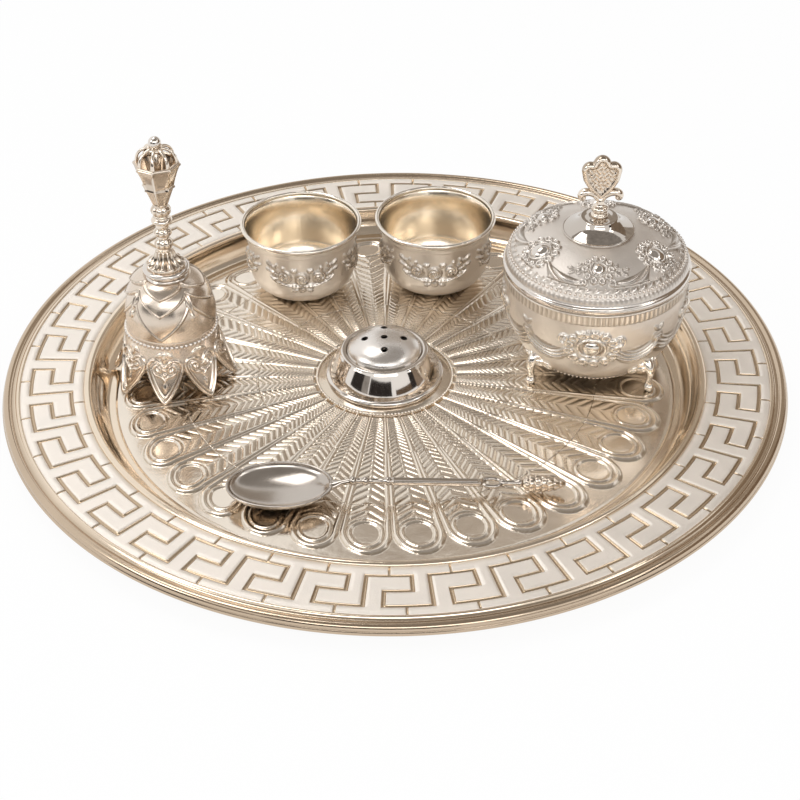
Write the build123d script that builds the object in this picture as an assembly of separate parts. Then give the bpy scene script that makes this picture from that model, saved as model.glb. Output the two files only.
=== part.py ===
from build123d import *
from math import asin, atan2, cos, degrees, hypot, radians, sin, sqrt, tan
import os

# A puja thali set: a round tray that carries an incense holder, a hand bell with a clapper,
# two small bowls, a footed box with a loose lid, and a spoon.
# Sizes are in millimetres and angles in degrees. The origin is the centre of the tray's
# underside, +Z is up, +X is right and -Y is the front. Every loose piece is drawn about its
# own upright axis with its foot at height 0, and then set down on the well floor.

# Clearances shared by the whole set
overrun = 2.0
lift_gap = 0.3

# Tray: a flat rim band, a raised lip, a sunken well and a rolled edge with a hem below it
tray_r = 150.0
tray_sheet = 1.5
tray_well_depth = 8.0
tray_band_w = 24.0
tray_edge_w = 6.8
tray_lip_w = 3.0
tray_lip_rise = 0.8
tray_cove_r = 3.5
tray_wall_angle = 80.0
tray_border_w = 1.4
tray_groove_w = 2.0
tray_groove_depth = 0.7
tray_roll_r = 1.7
tray_roll_inset = 0.4
tray_roll_rise = 0.2
tray_hem_r = 1.2
tray_hem_drop = 2.8

# Tray chasing: feathers that end in ringed eyes on the floor, and a key pattern on the band
feather_count = 32
feather_turn = -84.375
feather_depth = 0.6
feather_start_r = 31.0
feather_eye_r = 95.0
feather_round_r = 6.9
feather_rib_w = 2.1
feather_root_w = 1.0
feather_spine_w = 0.8
eye_ring_r = 6.1
eye_ring_w = 1.0
floor_margin_w = 2.3
floor_groove_r = 29.4
floor_groove_w = 2.2
key_count = 37
key_turn = -94.8
key_w = 1.5
key_depth = 0.5
key_near_share = 0.196
key_mid_share = 0.513
key_far_share = 0.825
key_back_share = 0.29
key_fore_share = 0.72

# Incense holder: a hollow cone with a flat shoulder, and a pierced dome on it
incense_x = -4.0
incense_y = 4.0
incense_flange_r = 22.9
incense_roll_r = 1.1
incense_shoulder_r = 16.8
incense_shoulder_z = 9.5
incense_seat_w = 5.2
incense_wall = 1.4
incense_dome_r = 14.0
incense_dome_rise = 8.0
stick_hole_r = 1.35
stick_ring_r = 7.5
stick_ring_count = 4

# Hand bell: cup, petal skirt, bead ring and a handle built up on a screw
bell_bearing = 174.0
bell_wall_gap = 1.2
bell_turn = -95.0
bell_wall = 1.4
skirt_r = 24.2
skirt_h = 21.0
skirt_sag = 0.8
petal_count = 8
petal_gap_h = 12.5
petal_tip_w = 1.4
petal_side_across_share = 0.42
petal_side_up_share = 0.50
cup_r = 17.0
cup_straight_h = 6.2
cup_crown_h = 15.6
cup_crown_r = 7.5
bead_ring_r = 0.9
shoulder_ring_r = 8.4
shoulder_ring_h = 4.2
shoulder_ring_round = 1.2
collar_r = 7.2
collar_top_r = 3.0
collar_edge_h = 1.2
collar_h = 5.8
collar_sag = 0.7
flute_count = 12
flute_r = 0.75
flute_depth = 0.45
stem_h = 20.6
stem_joint_shares = (0.0, 0.24, 0.34, 0.48, 0.68, 0.90, 1.0)
stem_joint_rs = (2.4, 2.0, 2.0, 2.3, 2.3, 2.6, 2.9)
stem_swell_rs = (3.2, 2.0, 2.9, 3.7, 3.3, 2.6)
crown_count = 8
crown_foot_r = 2.9
crown_waist_r = 5.4
crown_waist_h = 5.0
crown_top_r = 8.1
crown_h = 15.0
crown_lip_w = 1.3
crown_bowl_h = 8.0
crown_bowl_r = 3.8
cage_ring_h = 1.2
cage_rib_r = 0.7
cage_h = 10.4
cage_bulge = 1.3
cage_cap_r = 2.9
cage_cap_h = 1.4
handle_ball_r = 2.2
handle_ball_sink = 0.4
screw_r = 1.4
screw_nut_r = 3.4
screw_nut_h = 2.0
screw_grip = 6.0
screw_tip_gap = 0.4
eye_r = 2.3
eye_wire_r = 0.7
link_r = 2.4
link_wire_r = 0.7
link_gap = 0.3
clapper_rod_r = 0.9
clapper_arm = 23.0
clapper_ball_r = 4.2

# Bowls: rounded foot, upright side, flared mouth with a rolled rim
bowl_left_bearing = 118.0
bowl_left_wall_gap = 6.6
bowl_right_bearing = 76.8
bowl_right_wall_gap = 11.0
bowl_rim_r = 24.8
bowl_roll_r = 1.1
bowl_side_r = 21.8
bowl_h = 30.0
bowl_foot_round = 11.0
bowl_flare_h = 4.0
bowl_flare_sag = 0.6
bowl_wall = 1.2

# Footed box: rounded body, fluted band and four splayed feet
box_bearing = 12.6
box_wall_gap = 0.3
box_turn = -97.0
box_r = 34.8
box_wall = 1.5
box_floor_r = 20.0
box_lift = 3.5
box_round_h = 30.5
box_mouth_h = 7.0
flute_band_w = 0.9
flute_band_h = 5.0
flute_band_drop = 0.6
foot_count = 4
foot_tuck = 2.6
foot_pad_r = 1.9
foot_pad_h = 2.4
foot_leg_r = 1.8
foot_knee_tuck = 0.2
foot_knee_z = 8.6
foot_root_sink = 3.2
foot_root_z = 12.0
foot_leaf_sink = 0.2
foot_leaf_z = 10.8
foot_leaf_w = 4.4
foot_leaf_h = 3.6
foot_leaf_t = 2.4

# Lid: dome on a polished edge, locating flange, collar, finial and the screw that holds them
lid_edge_w = 3.6
lid_edge_h = 2.6
lid_overhang = 1.2
lid_edge_step = 1.0
lid_rise = 14.0
lid_wall = 1.4
lid_flange_h = 3.0
lid_flange_w = 1.2
lid_collar_r = 13.8
lid_collar_top_r = 6.4
lid_collar_h = 4.8
lid_collar_sag = 0.9
lid_collar_edge_h = 0.8
finial_h = 24.8
finial_w = 15.0
finial_t = 3.6
finial_knob_r = 3.0
finial_stem_r = 1.5
finial_fan_h = 16.6
finial_lobe_rise = 0.8
finial_side_shares = ((0.0, 0.0), (0.52, 0.19), (0.87, 0.39), (1.0, 0.58), (0.97, 0.70))
finial_crest_shares = ((0.97, 0.70), (0.66, 0.80), (0.30, 0.90), (0.0, 1.0))
leaf_reach = 6.4
leaf_r = 1.4
leaf_root_z = 6.2
leaf_crest = 4.2
leaf_drop = 2.2
leaf_curl_r = 1.9
lid_screw_r = 1.4
lid_screw_head_r = 4.2
lid_screw_head_h = 1.8
lid_screw_grip = 4.4
lid_screw_tip_gap = 0.4

# Lid chasing: a beaded border, three small and three large bosses in wreaths, and swags between them
chasing_count = 3
chasing_turn = -93.0
border_inset = 1.9
border_r = 1.0
border_sink = 0.4
small_boss_r = 2.5
small_boss_reach = 24.2
large_boss_r = 3.4
large_boss_reach = 24.8
boss_sink_share = 0.4
boss_ring_gap = 0.6
boss_ring_r = 0.55
wreath_gap = 2.4
wreath_r = 1.2
wreath_sink = 0.6
swag_r = 1.3
swag_sink = 0.6
swag_reaches = (27.5, 31.4, 33.0, 32.2, 29.8)
swag_bearings = (41.5, 34.5, 24.0, 14.0, 10.0)

# Spoon: shallow bowl, knopped handle with an open link in it, and a bud at the end
spoon_front_gap = 41.2
spoon_turn = 0.5
spoon_bowl_x = -41.0
spoon_bowl_l = 37.0
spoon_bowl_w = 26.4
spoon_bowl_depth = 5.4
spoon_wall = 1.1
spoon_neck_r = 1.3
spoon_neck_l = 9.0
spoon_neck_rise = 0.8
spoon_stem_r = 1.0
spoon_knop_xs = (-15.5, -11.0, -3.0)
spoon_knop_r = 1.7
spoon_knop_w = 1.6
spoon_bar_l = 33.2
spoon_bar_w = 2.4
spoon_bar_t = 1.5
spoon_link_l = 8.0
spoon_link_w = 5.4
spoon_link_wire = 1.5
spoon_tail_l = 7.0
spoon_bud_l = 15.6
spoon_bud_r = 3.5
spoon_bud_neck_r = 1.7

# Levels and radii that follow from the sizes above
rim_z = tray_sheet + tray_well_depth
band_out_r = tray_r - tray_edge_w
band_in_r = band_out_r - tray_band_w
lip_in_r = band_in_r - tray_lip_w
wall_lean = radians(tray_wall_angle)
cove_run = tray_cove_r * sin(wall_lean)
cove_rise = tray_cove_r * (1 - cos(wall_lean))
well_r = lip_in_r - cove_run - (tray_well_depth - cove_rise) / tan(wall_lean)
key_near_r = band_in_r + key_near_share * tray_band_w
key_mid_r = band_in_r + key_mid_share * tray_band_w
key_far_r = band_in_r + key_far_share * tray_band_w

cup_foot_z = skirt_h
cup_knee_z = cup_foot_z + cup_straight_h
cup_top_z = cup_knee_z + cup_crown_h
collar_z = cup_top_z + shoulder_ring_h
stem_z = collar_z + collar_h
crown_z = stem_z + stem_h
cage_z = crown_z + crown_h
cap_z = cage_z + cage_h
eye_z = cup_top_z - bell_wall - screw_nut_h - eye_r
pivot_z = eye_z - eye_r
link_z = pivot_z - (link_r - link_wire_r - eye_wire_r - link_gap)
clapper_z = pivot_z - clapper_arm

box_knee_z = box_lift + box_round_h
box_rim_z = box_knee_z + box_mouth_h
foot_ring_r = box_r - foot_tuck
lid_edge_r = box_r + lid_overhang
lid_dome_r = lid_edge_r - lid_edge_step
lid_dome_z = box_rim_z + lid_edge_h
lid_top_z = lid_dome_z + lid_rise
lid_flange_r = box_r - box_wall - lift_gap
finial_z = lid_top_z + lid_collar_h

spoon_rim_z = lift_gap + spoon_bowl_depth
spoon_axis_z = spoon_rim_z + spoon_neck_rise
spoon_neck_x = spoon_bowl_x + spoon_bowl_l / 2
spoon_stem_x = spoon_neck_x + spoon_neck_l
spoon_bar_x = spoon_knop_xs[2]
spoon_link_x = spoon_bar_x + spoon_bar_l
spoon_tail_x = spoon_link_x + spoon_link_l
spoon_bud_x = spoon_tail_x + spoon_tail_l
spoon_swell_x = spoon_bud_x + spoon_bud_l / 3
spoon_dip = degrees(asin((spoon_axis_z - lift_gap - spoon_bud_r) / (spoon_swell_x - spoon_stem_x)))


def section(*edges):
    """Flat face bounded by the given edges, drawn with radius across and height up."""
    return make_face([edge for part in edges for edge in part.edges()])


def spun(face):
    """Solid turned from a flat face about the upright axis."""
    return revolve(Plane.XZ * face, Axis.Z)


def round_bar(radius, low, high):
    """Upright cylinder between two heights on the axis."""
    return Pos(0, 0, low) * Cylinder(radius, high - low, align=(Align.CENTER, Align.CENTER, Align.MIN))


def turned_copies(shape, count, first=0):
    """Copies of a shape, evenly turned about the upright axis."""
    return [Rot(0, 0, first + 360 * step / count) * shape for step in range(count)]


def set_down(shape, distance, bearing, turn=0):
    """Set a loose piece on the well floor, at a distance and bearing from the tray's centre."""
    x = distance * cos(radians(bearing))
    y = distance * sin(radians(bearing))
    return Pos(x, y, tray_sheet) * Rot(0, 0, turn) * shape


def cap_arc(radius, low, high):
    """Arc of a spherical cap from its edge, at a low height, to its top on the axis."""
    rise = high - low
    ball_r = (radius * radius + rise * rise) / (2 * rise)
    half = asin(radius / ball_r) / 2
    middle = (ball_r * sin(half), high - ball_r + ball_r * cos(half))
    return ThreePointArc((radius, low), middle, (0, high))


def sagged_arc(start, end, sag):
    """Arc between two points whose middle is pushed to the left of the way from start to end."""
    run = end[0] - start[0]
    rise = end[1] - start[1]
    length = hypot(run, rise)
    across = (start[0] + end[0]) / 2 - sag * rise / length
    up = (start[1] + end[1]) / 2 + sag * run / length
    return ThreePointArc(start, (across, up), end)


def ring_face(outer_r, inner_r):
    """Flat ring about the upright axis."""
    return Circle(outer_r) - Circle(inner_r)


def feather_pocket():
    """Sunken face of one feather, on both sides of its spine and round the ring of its eye."""
    root = feather_start_r * tan(radians(180 / feather_count)) - feather_root_w / 2
    eye = (feather_eye_r, 0)
    field = section(
        Polyline((feather_eye_r, feather_round_r), (feather_start_r, root), (feather_start_r, -root)),
        Line((feather_start_r, -root), (feather_eye_r, -feather_round_r)),
        CenterArc(eye, feather_round_r, -90, 180),
    )
    spine_l = feather_eye_r - eye_ring_r + eye_ring_w / 2 - feather_start_r
    spine = Pos(feather_start_r, 0) * Rectangle(spine_l, feather_spine_w, align=(Align.MIN, Align.CENTER))
    return field - spine - Pos(*eye) * ring_face(eye_ring_r, eye_ring_r - eye_ring_w)


def floor_margin():
    """Sunken face outside the feathers, scalloped by their round ends."""
    ends = Pos(feather_eye_r, 0) * Circle(feather_round_r + feather_rib_w)
    inner_r = feather_eye_r + feather_rib_w
    return ring_face(well_r - floor_margin_w, inner_r) - turned_copies(ends, feather_count, feather_turn)


def key_edge(side):
    """Face inside one edge of the key's channel: the outer edge for 1, the inner edge for -1."""
    corners = (
        (0, key_far_r, 1, 1),
        (0, key_near_r, 1, 1),
        (key_fore_share, key_near_r, -1, 1),
        (key_fore_share, key_mid_r, -1, -1),
        (key_back_share, key_mid_r, -1, -1),
        (key_back_share, key_far_r, -1, 1),
    )
    points = []
    for unit in range(key_count):
        for share, line_r, across, up in corners:
            half = side * key_w / 2
            angle = radians(key_turn + 360 * (unit + share) / key_count) + half * across / line_r
            points.append(((line_r + half * up) * cos(angle), (line_r + half * up) * sin(angle)))
    return make_face(Polyline(*points, close=True))


def chased(face, level, depth):
    """Cutter that sinks a flat face to a depth below a level."""
    return Pos(0, 0, level - depth) * extrude(face, depth + overrun)


def thali_tray():
    """Pressed tray with its lip, band, groove, rolled edge and hem, chased on floor and band."""
    outer_cove_r = tray_cove_r + tray_sheet
    inner_cove = JernArc((well_r, tray_sheet), (1, 0), tray_cove_r, tray_wall_angle)
    outer_cove = JernArc((well_r, 0), (1, 0), outer_cove_r, tray_wall_angle)
    inner_top = inner_cove @ 1
    outer_top = outer_cove @ 1
    under_z = rim_z - tray_sheet
    under_r = outer_top.X + (under_z - outer_top.Y) / tan(wall_lean)
    roll_axis_r = tray_r - tray_roll_inset - tray_roll_r
    sheet = section(
        Polyline((0, 0), (0, tray_sheet), (well_r, tray_sheet)),
        inner_cove,
        Polyline(inner_top, (lip_in_r, rim_z), (roll_axis_r, rim_z), (roll_axis_r, under_z)),
        Polyline((roll_axis_r, under_z), (under_r, under_z), outer_top),
        outer_cove,
        Line((well_r, 0), (0, 0)),
    )
    lip_r = tray_lip_w / 2
    lip = Pos(lip_in_r + lip_r, rim_z + tray_lip_rise - lip_r) * Circle(lip_r)
    roll = Pos(roll_axis_r, rim_z + tray_roll_rise - tray_roll_r) * Circle(tray_roll_r)
    hem = Pos(tray_r - tray_hem_r, rim_z - tray_hem_drop) * Circle(tray_hem_r)
    groove_r = band_out_r + tray_border_w + tray_groove_w / 2
    groove = Pos(groove_r, rim_z) * Rectangle(tray_groove_w, 2 * tray_groove_depth)
    blank = spun(sheet + lip + roll + hem - groove)
    groove_in_r = floor_groove_r - floor_groove_w
    pocket = chased(feather_pocket(), tray_sheet, feather_depth)
    cutters = turned_copies(pocket, feather_count, feather_turn)
    cutters.append(chased(floor_margin(), tray_sheet, feather_depth))
    cutters.append(chased(ring_face(floor_groove_r, groove_in_r), tray_sheet, feather_depth))
    cutters.append(chased(key_edge(1) - key_edge(-1), rim_z, key_depth))
    return blank - cutters


def incense_base():
    """Hollow cone with a rounded flange and a flat shoulder that carries the dome."""
    cone_r = incense_flange_r - incense_roll_r
    cone = section(Polyline(
        (cone_r, 0),
        (cone_r, 2 * incense_roll_r),
        (incense_shoulder_r, incense_shoulder_z),
        (incense_shoulder_r - incense_seat_w, incense_shoulder_z),
        (incense_shoulder_r - incense_seat_w, incense_shoulder_z - incense_wall),
        (incense_shoulder_r - incense_wall, incense_shoulder_z - incense_wall),
        (cone_r - incense_roll_r - incense_wall, 0),
        close=True,
    ))
    return spun(cone + Pos(cone_r, incense_roll_r) * Circle(incense_roll_r))


def incense_dome():
    """Dome pierced by a middle hole and a ring of holes for incense sticks."""
    top_z = incense_shoulder_z + incense_dome_rise
    inner_r = incense_dome_r - incense_wall
    inner_z = top_z - incense_wall
    shell = spun(section(
        cap_arc(incense_dome_r, incense_shoulder_z, top_z),
        Line((0, top_z), (0, inner_z)),
        cap_arc(inner_r, incense_shoulder_z, inner_z),
        Line((inner_r, incense_shoulder_z), (incense_dome_r, incense_shoulder_z)),
    ))
    hole = round_bar(stick_hole_r, incense_shoulder_z, top_z + overrun)
    return shell - hole - turned_copies(Pos(stick_ring_r, 0, 0) * hole, stick_ring_count)


def bell_petal_skirt():
    """Flared skirt whose lower edge is cut into pointed petals."""
    inner_r = cup_r - bell_wall
    shell = spun(section(
        sagged_arc((cup_r, skirt_h), (skirt_r, 0), -skirt_sag),
        Line((skirt_r, 0), (skirt_r - bell_wall, 0)),
        sagged_arc((skirt_r - bell_wall, 0), (inner_r, skirt_h), skirt_sag),
        Line((inner_r, skirt_h), (cup_r, skirt_h)),
    ))
    half_w = skirt_r * sin(radians(180 / petal_count)) - petal_tip_w / 2
    side = (half_w * petal_side_across_share, petal_gap_h * petal_side_up_share)
    gap = section(
        ThreePointArc((half_w, 0), side, (0, petal_gap_h)),
        ThreePointArc((0, petal_gap_h), (-side[0], side[1]), (-half_w, 0)),
        Polyline((-half_w, 0), (-half_w, -overrun), (half_w, -overrun), (half_w, 0)),
    )
    cutter = extrude(Plane.YZ * gap, skirt_r + overrun)
    return shell - turned_copies(cutter, petal_count, 180 / petal_count)


def bell_cup():
    """Sounding cup with a flat crown, bored for the screw."""
    inner_r = cup_r - bell_wall
    inner_z = cup_top_z - bell_wall
    knee = (cup_crown_r, cup_knee_z)
    across = cup_r - cup_crown_r
    foot = Polyline((inner_r, cup_knee_z), (inner_r, cup_foot_z), (cup_r, cup_foot_z), (cup_r, cup_knee_z))
    crown = Polyline(
        (cup_crown_r, cup_top_z),
        (screw_r, cup_top_z),
        (screw_r, inner_z),
        (cup_crown_r, inner_z),
    )
    return spun(section(
        foot,
        EllipticalCenterArc(knee, across, cup_crown_h, 0, arc_size=90),
        crown,
        EllipticalCenterArc(knee, across - bell_wall, cup_crown_h - bell_wall, 0, arc_size=90),
    ))


def bell_bead_ring():
    """Half-round wire that hugs the foot of the cup."""
    low = (cup_r, cup_foot_z)
    middle = (cup_r + bead_ring_r, cup_foot_z + bead_ring_r)
    high = (cup_r, cup_foot_z + 2 * bead_ring_r)
    return spun(section(ThreePointArc(low, middle, high), Line(high, low)))


def bell_shoulder_ring():
    """Polished disc with a rounded edge, between the cup and the handle."""
    edge_r = shoulder_ring_r - shoulder_ring_round
    middle = (shoulder_ring_r, cup_top_z + shoulder_ring_h / 2)
    return spun(section(
        Polyline((edge_r, cup_top_z), (screw_r, cup_top_z), (screw_r, collar_z), (edge_r, collar_z)),
        ThreePointArc((edge_r, collar_z), middle, (edge_r, cup_top_z)),
    ))


def bell_handle_collar():
    """Hollow-sided collar with flutes cut down its slope."""
    edge_z = collar_z + collar_edge_h
    body = spun(section(
        Polyline((screw_r, stem_z), (screw_r, collar_z), (collar_r, collar_z), (collar_r, edge_z)),
        sagged_arc((collar_r, edge_z), (collar_top_r, stem_z), collar_sag),
        Line((collar_top_r, stem_z), (screw_r, stem_z)),
    ))
    run = collar_top_r - collar_r
    rise = stem_z - edge_z
    start_r = collar_r + flute_r - flute_depth
    flute = Plane((start_r, 0, edge_z), z_dir=(run, 0, rise)) * Cylinder(flute_r, hypot(run, rise))
    return body - turned_copies(flute, flute_count)


def bell_handle_stem():
    """Turned stem of swells and necks, bored from below for the screw."""
    heights = [stem_z + share * stem_h for share in stem_joint_shares]
    edges = []
    for index, swell_r in enumerate(stem_swell_rs):
        low = (stem_joint_rs[index], heights[index])
        high = (stem_joint_rs[index + 1], heights[index + 1])
        bulge = swell_r - (low[0] + high[0]) / 2
        edges.append(sagged_arc(low, high, -bulge) if bulge else Line(low, high))
    top = (stem_joint_rs[-1], heights[-1])
    foot = (stem_joint_rs[0], heights[0])
    ends = Polyline(top, (0, top[1]), (0, foot[1]), foot)
    bore = round_bar(screw_r, stem_z, stem_z + screw_grip + screw_tip_gap)
    return spun(section(*edges, ends)) - bore


def faceted(low_r, low_z, high_r, high_z):
    """Tapered block with as many flat sides as the crown has ribs."""
    low = Pos(0, 0, low_z) * RegularPolygon(low_r, crown_count)
    high = Pos(0, 0, high_z) * RegularPolygon(high_r, crown_count)
    return loft([low, high], ruled=True)


def bell_crown_cup():
    """Faceted cup that carries the cage."""
    waist_z = crown_z + crown_waist_h
    foot = faceted(crown_foot_r, crown_z, crown_waist_r, waist_z)
    bowl = faceted(crown_waist_r, waist_z, crown_top_r, cage_z)
    hollow = faceted(crown_bowl_r, cage_z - crown_bowl_h, crown_top_r - crown_lip_w, cage_z)
    return foot + bowl - hollow


def bell_crown_cage():
    """Ring, curved ribs and cap that close the top of the crown."""
    ring_w = crown_lip_w
    ring = extrude(Pos(0, 0, cage_z) * (
        RegularPolygon(crown_top_r, crown_count) - RegularPolygon(crown_top_r - ring_w, crown_count)
    ), cage_ring_h)
    low_r = crown_top_r - ring_w / 2 - cage_rib_r / 2
    low_z = cage_z + cage_rib_r
    high_z = cap_z - cage_cap_h / 2
    middle_r = (low_r + cage_cap_r) / 2 + cage_bulge
    middle_z = (low_z + high_z) / 2 + cage_bulge
    path = ThreePointArc((low_r, 0, low_z), (middle_r, 0, middle_z), (cage_cap_r / 2, 0, high_z))
    rib = sweep(Plane(path @ 0, z_dir=path % 0) * Circle(cage_rib_r), path)
    cap = round_bar(cage_cap_r, cap_z - cage_cap_h, cap_z)
    cage = ring + cap
    for copy in turned_copies(rib, crown_count):
        cage = cage + copy
    return cage


def bell_handle_ball():
    """Ball with a small flat, seated on the cage's cap."""
    ball = Pos(0, 0, cap_z + handle_ball_r - handle_ball_sink) * Sphere(handle_ball_r)
    return ball - round_bar(handle_ball_r + overrun, cap_z - overrun, cap_z)


def bell_eye_screw():
    """Screw from inside the cup into the handle, with the clapper's eye under its nut."""
    nut_z = cup_top_z - bell_wall - screw_nut_h
    shank = round_bar(screw_r, nut_z, stem_z + screw_grip)
    nut = extrude(Pos(0, 0, nut_z) * RegularPolygon(screw_nut_r, 6), screw_nut_h)
    eye = Pos(0, 0, eye_z) * Rot(0, 90, 0) * Torus(eye_r, eye_wire_r)
    return shank + nut + eye


def clapper_link():
    """Wire ring in the screw's eye, with the rod that ends in the clapper's ball."""
    ring = Pos(0, 0, link_z) * Rot(90, 0, 0) * Torus(link_r, link_wire_r)
    return ring + round_bar(clapper_rod_r, clapper_z, link_z - link_r)


def clapper_ball():
    """Ball bored to take the end of the rod."""
    ball = Pos(0, 0, clapper_z) * Sphere(clapper_ball_r)
    return ball - round_bar(clapper_rod_r, clapper_z, clapper_z + clapper_ball_r + overrun)


def bowl():
    """Small bowl with a rounded foot, a flared mouth and a rolled rim."""
    flare_z = bowl_h - bowl_roll_r - bowl_flare_h
    roll_axis = (bowl_rim_r - bowl_roll_r, bowl_h - bowl_roll_r)
    foot_r = bowl_side_r - bowl_foot_round
    foot_axis = (foot_r, bowl_foot_round)
    inner_r = bowl_side_r - bowl_wall
    inner_roll = (roll_axis[0] - bowl_wall, roll_axis[1])
    sheet = section(
        Polyline((foot_r, bowl_wall), (0, bowl_wall), (0, 0), (foot_r, 0)),
        CenterArc(foot_axis, bowl_foot_round, -90, 90),
        Line((bowl_side_r, bowl_foot_round), (bowl_side_r, flare_z)),
        sagged_arc((bowl_side_r, flare_z), roll_axis, -bowl_flare_sag),
        Line(roll_axis, inner_roll),
        sagged_arc(inner_roll, (inner_r, flare_z), bowl_flare_sag),
        Line((inner_r, flare_z), (inner_r, bowl_foot_round)),
        CenterArc(foot_axis, bowl_foot_round - bowl_wall, -90, 90),
    )
    return spun(sheet + Pos(*roll_axis) * Circle(bowl_roll_r))


def box_distance():
    """Distance of the box from the tray's centre at which its foremost foot just fits in the well."""
    reach = well_r - foot_pad_r - box_wall_gap
    distances = []
    for step in range(foot_count):
        spread = radians(box_turn + 180 / foot_count + 360 * step / foot_count - box_bearing)
        across = foot_ring_r * sin(spread)
        distances.append(sqrt(reach * reach - across * across) - foot_ring_r * cos(spread))
    return min(distances)


def box_shape(inset):
    """Turned form of the box body, drawn in by an inset all round, and closed at the mouth."""
    floor_z = box_lift + inset
    side_r = box_r - inset
    across = side_r - box_floor_r
    return spun(section(
        Polyline((side_r, box_knee_z), (side_r, box_rim_z), (0, box_rim_z)),
        Polyline((0, box_rim_z), (0, floor_z), (box_floor_r, floor_z)),
        EllipticalCenterArc((box_floor_r, box_knee_z), across, box_round_h - inset, -90, arc_size=90),
    ))


def box_body():
    """Rounded open body."""
    return box_shape(0) - box_shape(box_wall)


def box_flute_band():
    """Plain ring for the fluted band round the mouth."""
    high = box_rim_z - flute_band_drop
    return round_bar(box_r + flute_band_w, high - flute_band_h, high) - round_bar(box_r, 0, box_rim_z)


def box_r_at(height):
    """Radius of the rounded body at a height below its knee."""
    drop = (box_knee_z - height) / box_round_h
    return box_floor_r + (box_r - box_floor_r) * sqrt(1 - drop * drop)


def box_foot():
    """Splayed leg with a leaf against the body and a flat pad on the floor."""
    path = ThreePointArc(
        (box_r_at(foot_root_z) - foot_root_sink, 0, foot_root_z),
        (foot_ring_r - foot_knee_tuck, 0, foot_knee_z),
        (foot_ring_r, 0, foot_pad_h / 2),
    )
    leg = sweep(Plane(path @ 0, z_dir=path % 0) * Circle(foot_leg_r), path)
    pad = Pos(foot_ring_r, 0, 0) * round_bar(foot_pad_r, 0, foot_pad_h)
    leaf_sizes = (foot_leaf_t, foot_leaf_w, foot_leaf_h)
    leaf_ring_r = box_r_at(foot_leaf_z) - foot_leaf_sink
    leaf = Pos(leaf_ring_r, 0, foot_leaf_z) * scale(Sphere(1), by=leaf_sizes)
    below = Pos(foot_ring_r, 0, 0) * round_bar(foot_ring_r, -foot_ring_r, 0)
    return leg + pad + leaf - below - box_shape(0)


def lid_shape(inset):
    """Turned form of the lid's dome, drawn in by an inset and closed below."""
    across = lid_dome_r - inset
    rise = lid_rise - inset
    return spun(section(
        EllipticalCenterArc((0, lid_dome_z), across, rise, 0, arc_size=90),
        Polyline((0, lid_dome_z + rise), (0, lid_dome_z), (across, lid_dome_z)),
    ))


def dome_seat(reach, bearing, sink):
    """Place on the lid's dome, square to it and sunk into it, at a reach and bearing from the axis."""
    lean = asin(reach / lid_dome_r)
    slope = degrees(atan2(lid_rise * sin(lean), lid_dome_r * cos(lean)))
    seat = Pos(reach, 0, lid_dome_z + lid_rise * cos(lean))
    return Rot(0, 0, bearing) * seat * Rot(0, slope, 0) * Pos(0, 0, -sink)


def lid_boss(radius, reach, bearing):
    """Round boss with a fine ring and a wreath about it."""
    ball = dome_seat(reach, bearing, boss_sink_share * radius) * Sphere(radius)
    ring = dome_seat(reach, bearing, 0) * Torus(radius + boss_ring_gap, boss_ring_r)
    wreath = dome_seat(reach, bearing, wreath_sink) * Torus(radius + wreath_gap, wreath_r)
    return [ball, ring, wreath]


def lid_swag(hand):
    """Swag that hangs from a large boss towards a small one, on the side given by a hand of 1 or -1."""
    seats = [
        dome_seat(reach, hand * bearing, swag_sink).position
        for reach, bearing in zip(swag_reaches, swag_bearings)
    ]
    path = Spline(*seats)
    return sweep(Plane(path @ 0, z_dir=path % 0) * Circle(swag_r), path)


def lid_chasing():
    """Raised forms on the dome, which stand on its outside."""
    half_turn = 180 / chasing_count
    pieces = lid_boss(small_boss_r, small_boss_reach, 0) + lid_boss(large_boss_r, large_boss_reach, half_turn)
    pieces += [lid_swag(1), lid_swag(-1)]
    border_reach = lid_dome_r - border_inset
    border_z = lid_dome_z + lid_rise * cos(asin(border_reach / lid_dome_r)) - border_sink
    copies = [Pos(0, 0, border_z) * Torus(border_reach, border_r)]
    for piece in pieces:
        copies += turned_copies(piece, chasing_count, chasing_turn - box_turn)
    return copies


def lid_dome():
    """Domed lid, chased outside, on a broad edge that rests on the body's mouth."""
    edge = round_bar(lid_edge_r, box_rim_z, lid_dome_z)
    edge = edge - round_bar(lid_edge_r - lid_edge_w, box_rim_z - overrun, lid_dome_z + overrun)
    shell = lid_shape(0) + lid_chasing() - lid_shape(lid_wall)
    return edge + shell - round_bar(lid_screw_r, box_rim_z, lid_top_z + overrun)


def lid_flange():
    """Ring below the lid that drops inside the body's mouth."""
    low = box_rim_z - lid_flange_h
    inside = round_bar(lid_flange_r - lid_flange_w, low - overrun, lid_dome_z)
    return round_bar(lid_flange_r, low, box_rim_z) - inside


def lid_collar():
    """Polished collar with a hollow slope, seated on the top of the dome."""
    edge_z = lid_dome_z + lid_rise * cos(asin(lid_collar_r / lid_dome_r)) + lid_collar_edge_h
    raw = spun(section(
        Polyline((lid_screw_r, finial_z), (lid_screw_r, lid_dome_z), (lid_collar_r, lid_dome_z)),
        Line((lid_collar_r, lid_dome_z), (lid_collar_r, edge_z)),
        sagged_arc((lid_collar_r, edge_z), (lid_collar_top_r, finial_z), lid_collar_sag),
        Line((lid_collar_top_r, finial_z), (lid_screw_r, finial_z)),
    ))
    return raw - lid_shape(0)


def finial_points(shares):
    """Points of the fan's outline, from shares of its half width and of its height."""
    low = finial_h - finial_fan_h
    return [(across * finial_w / 2, low + up * finial_fan_h) for across, up in shares]


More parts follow.
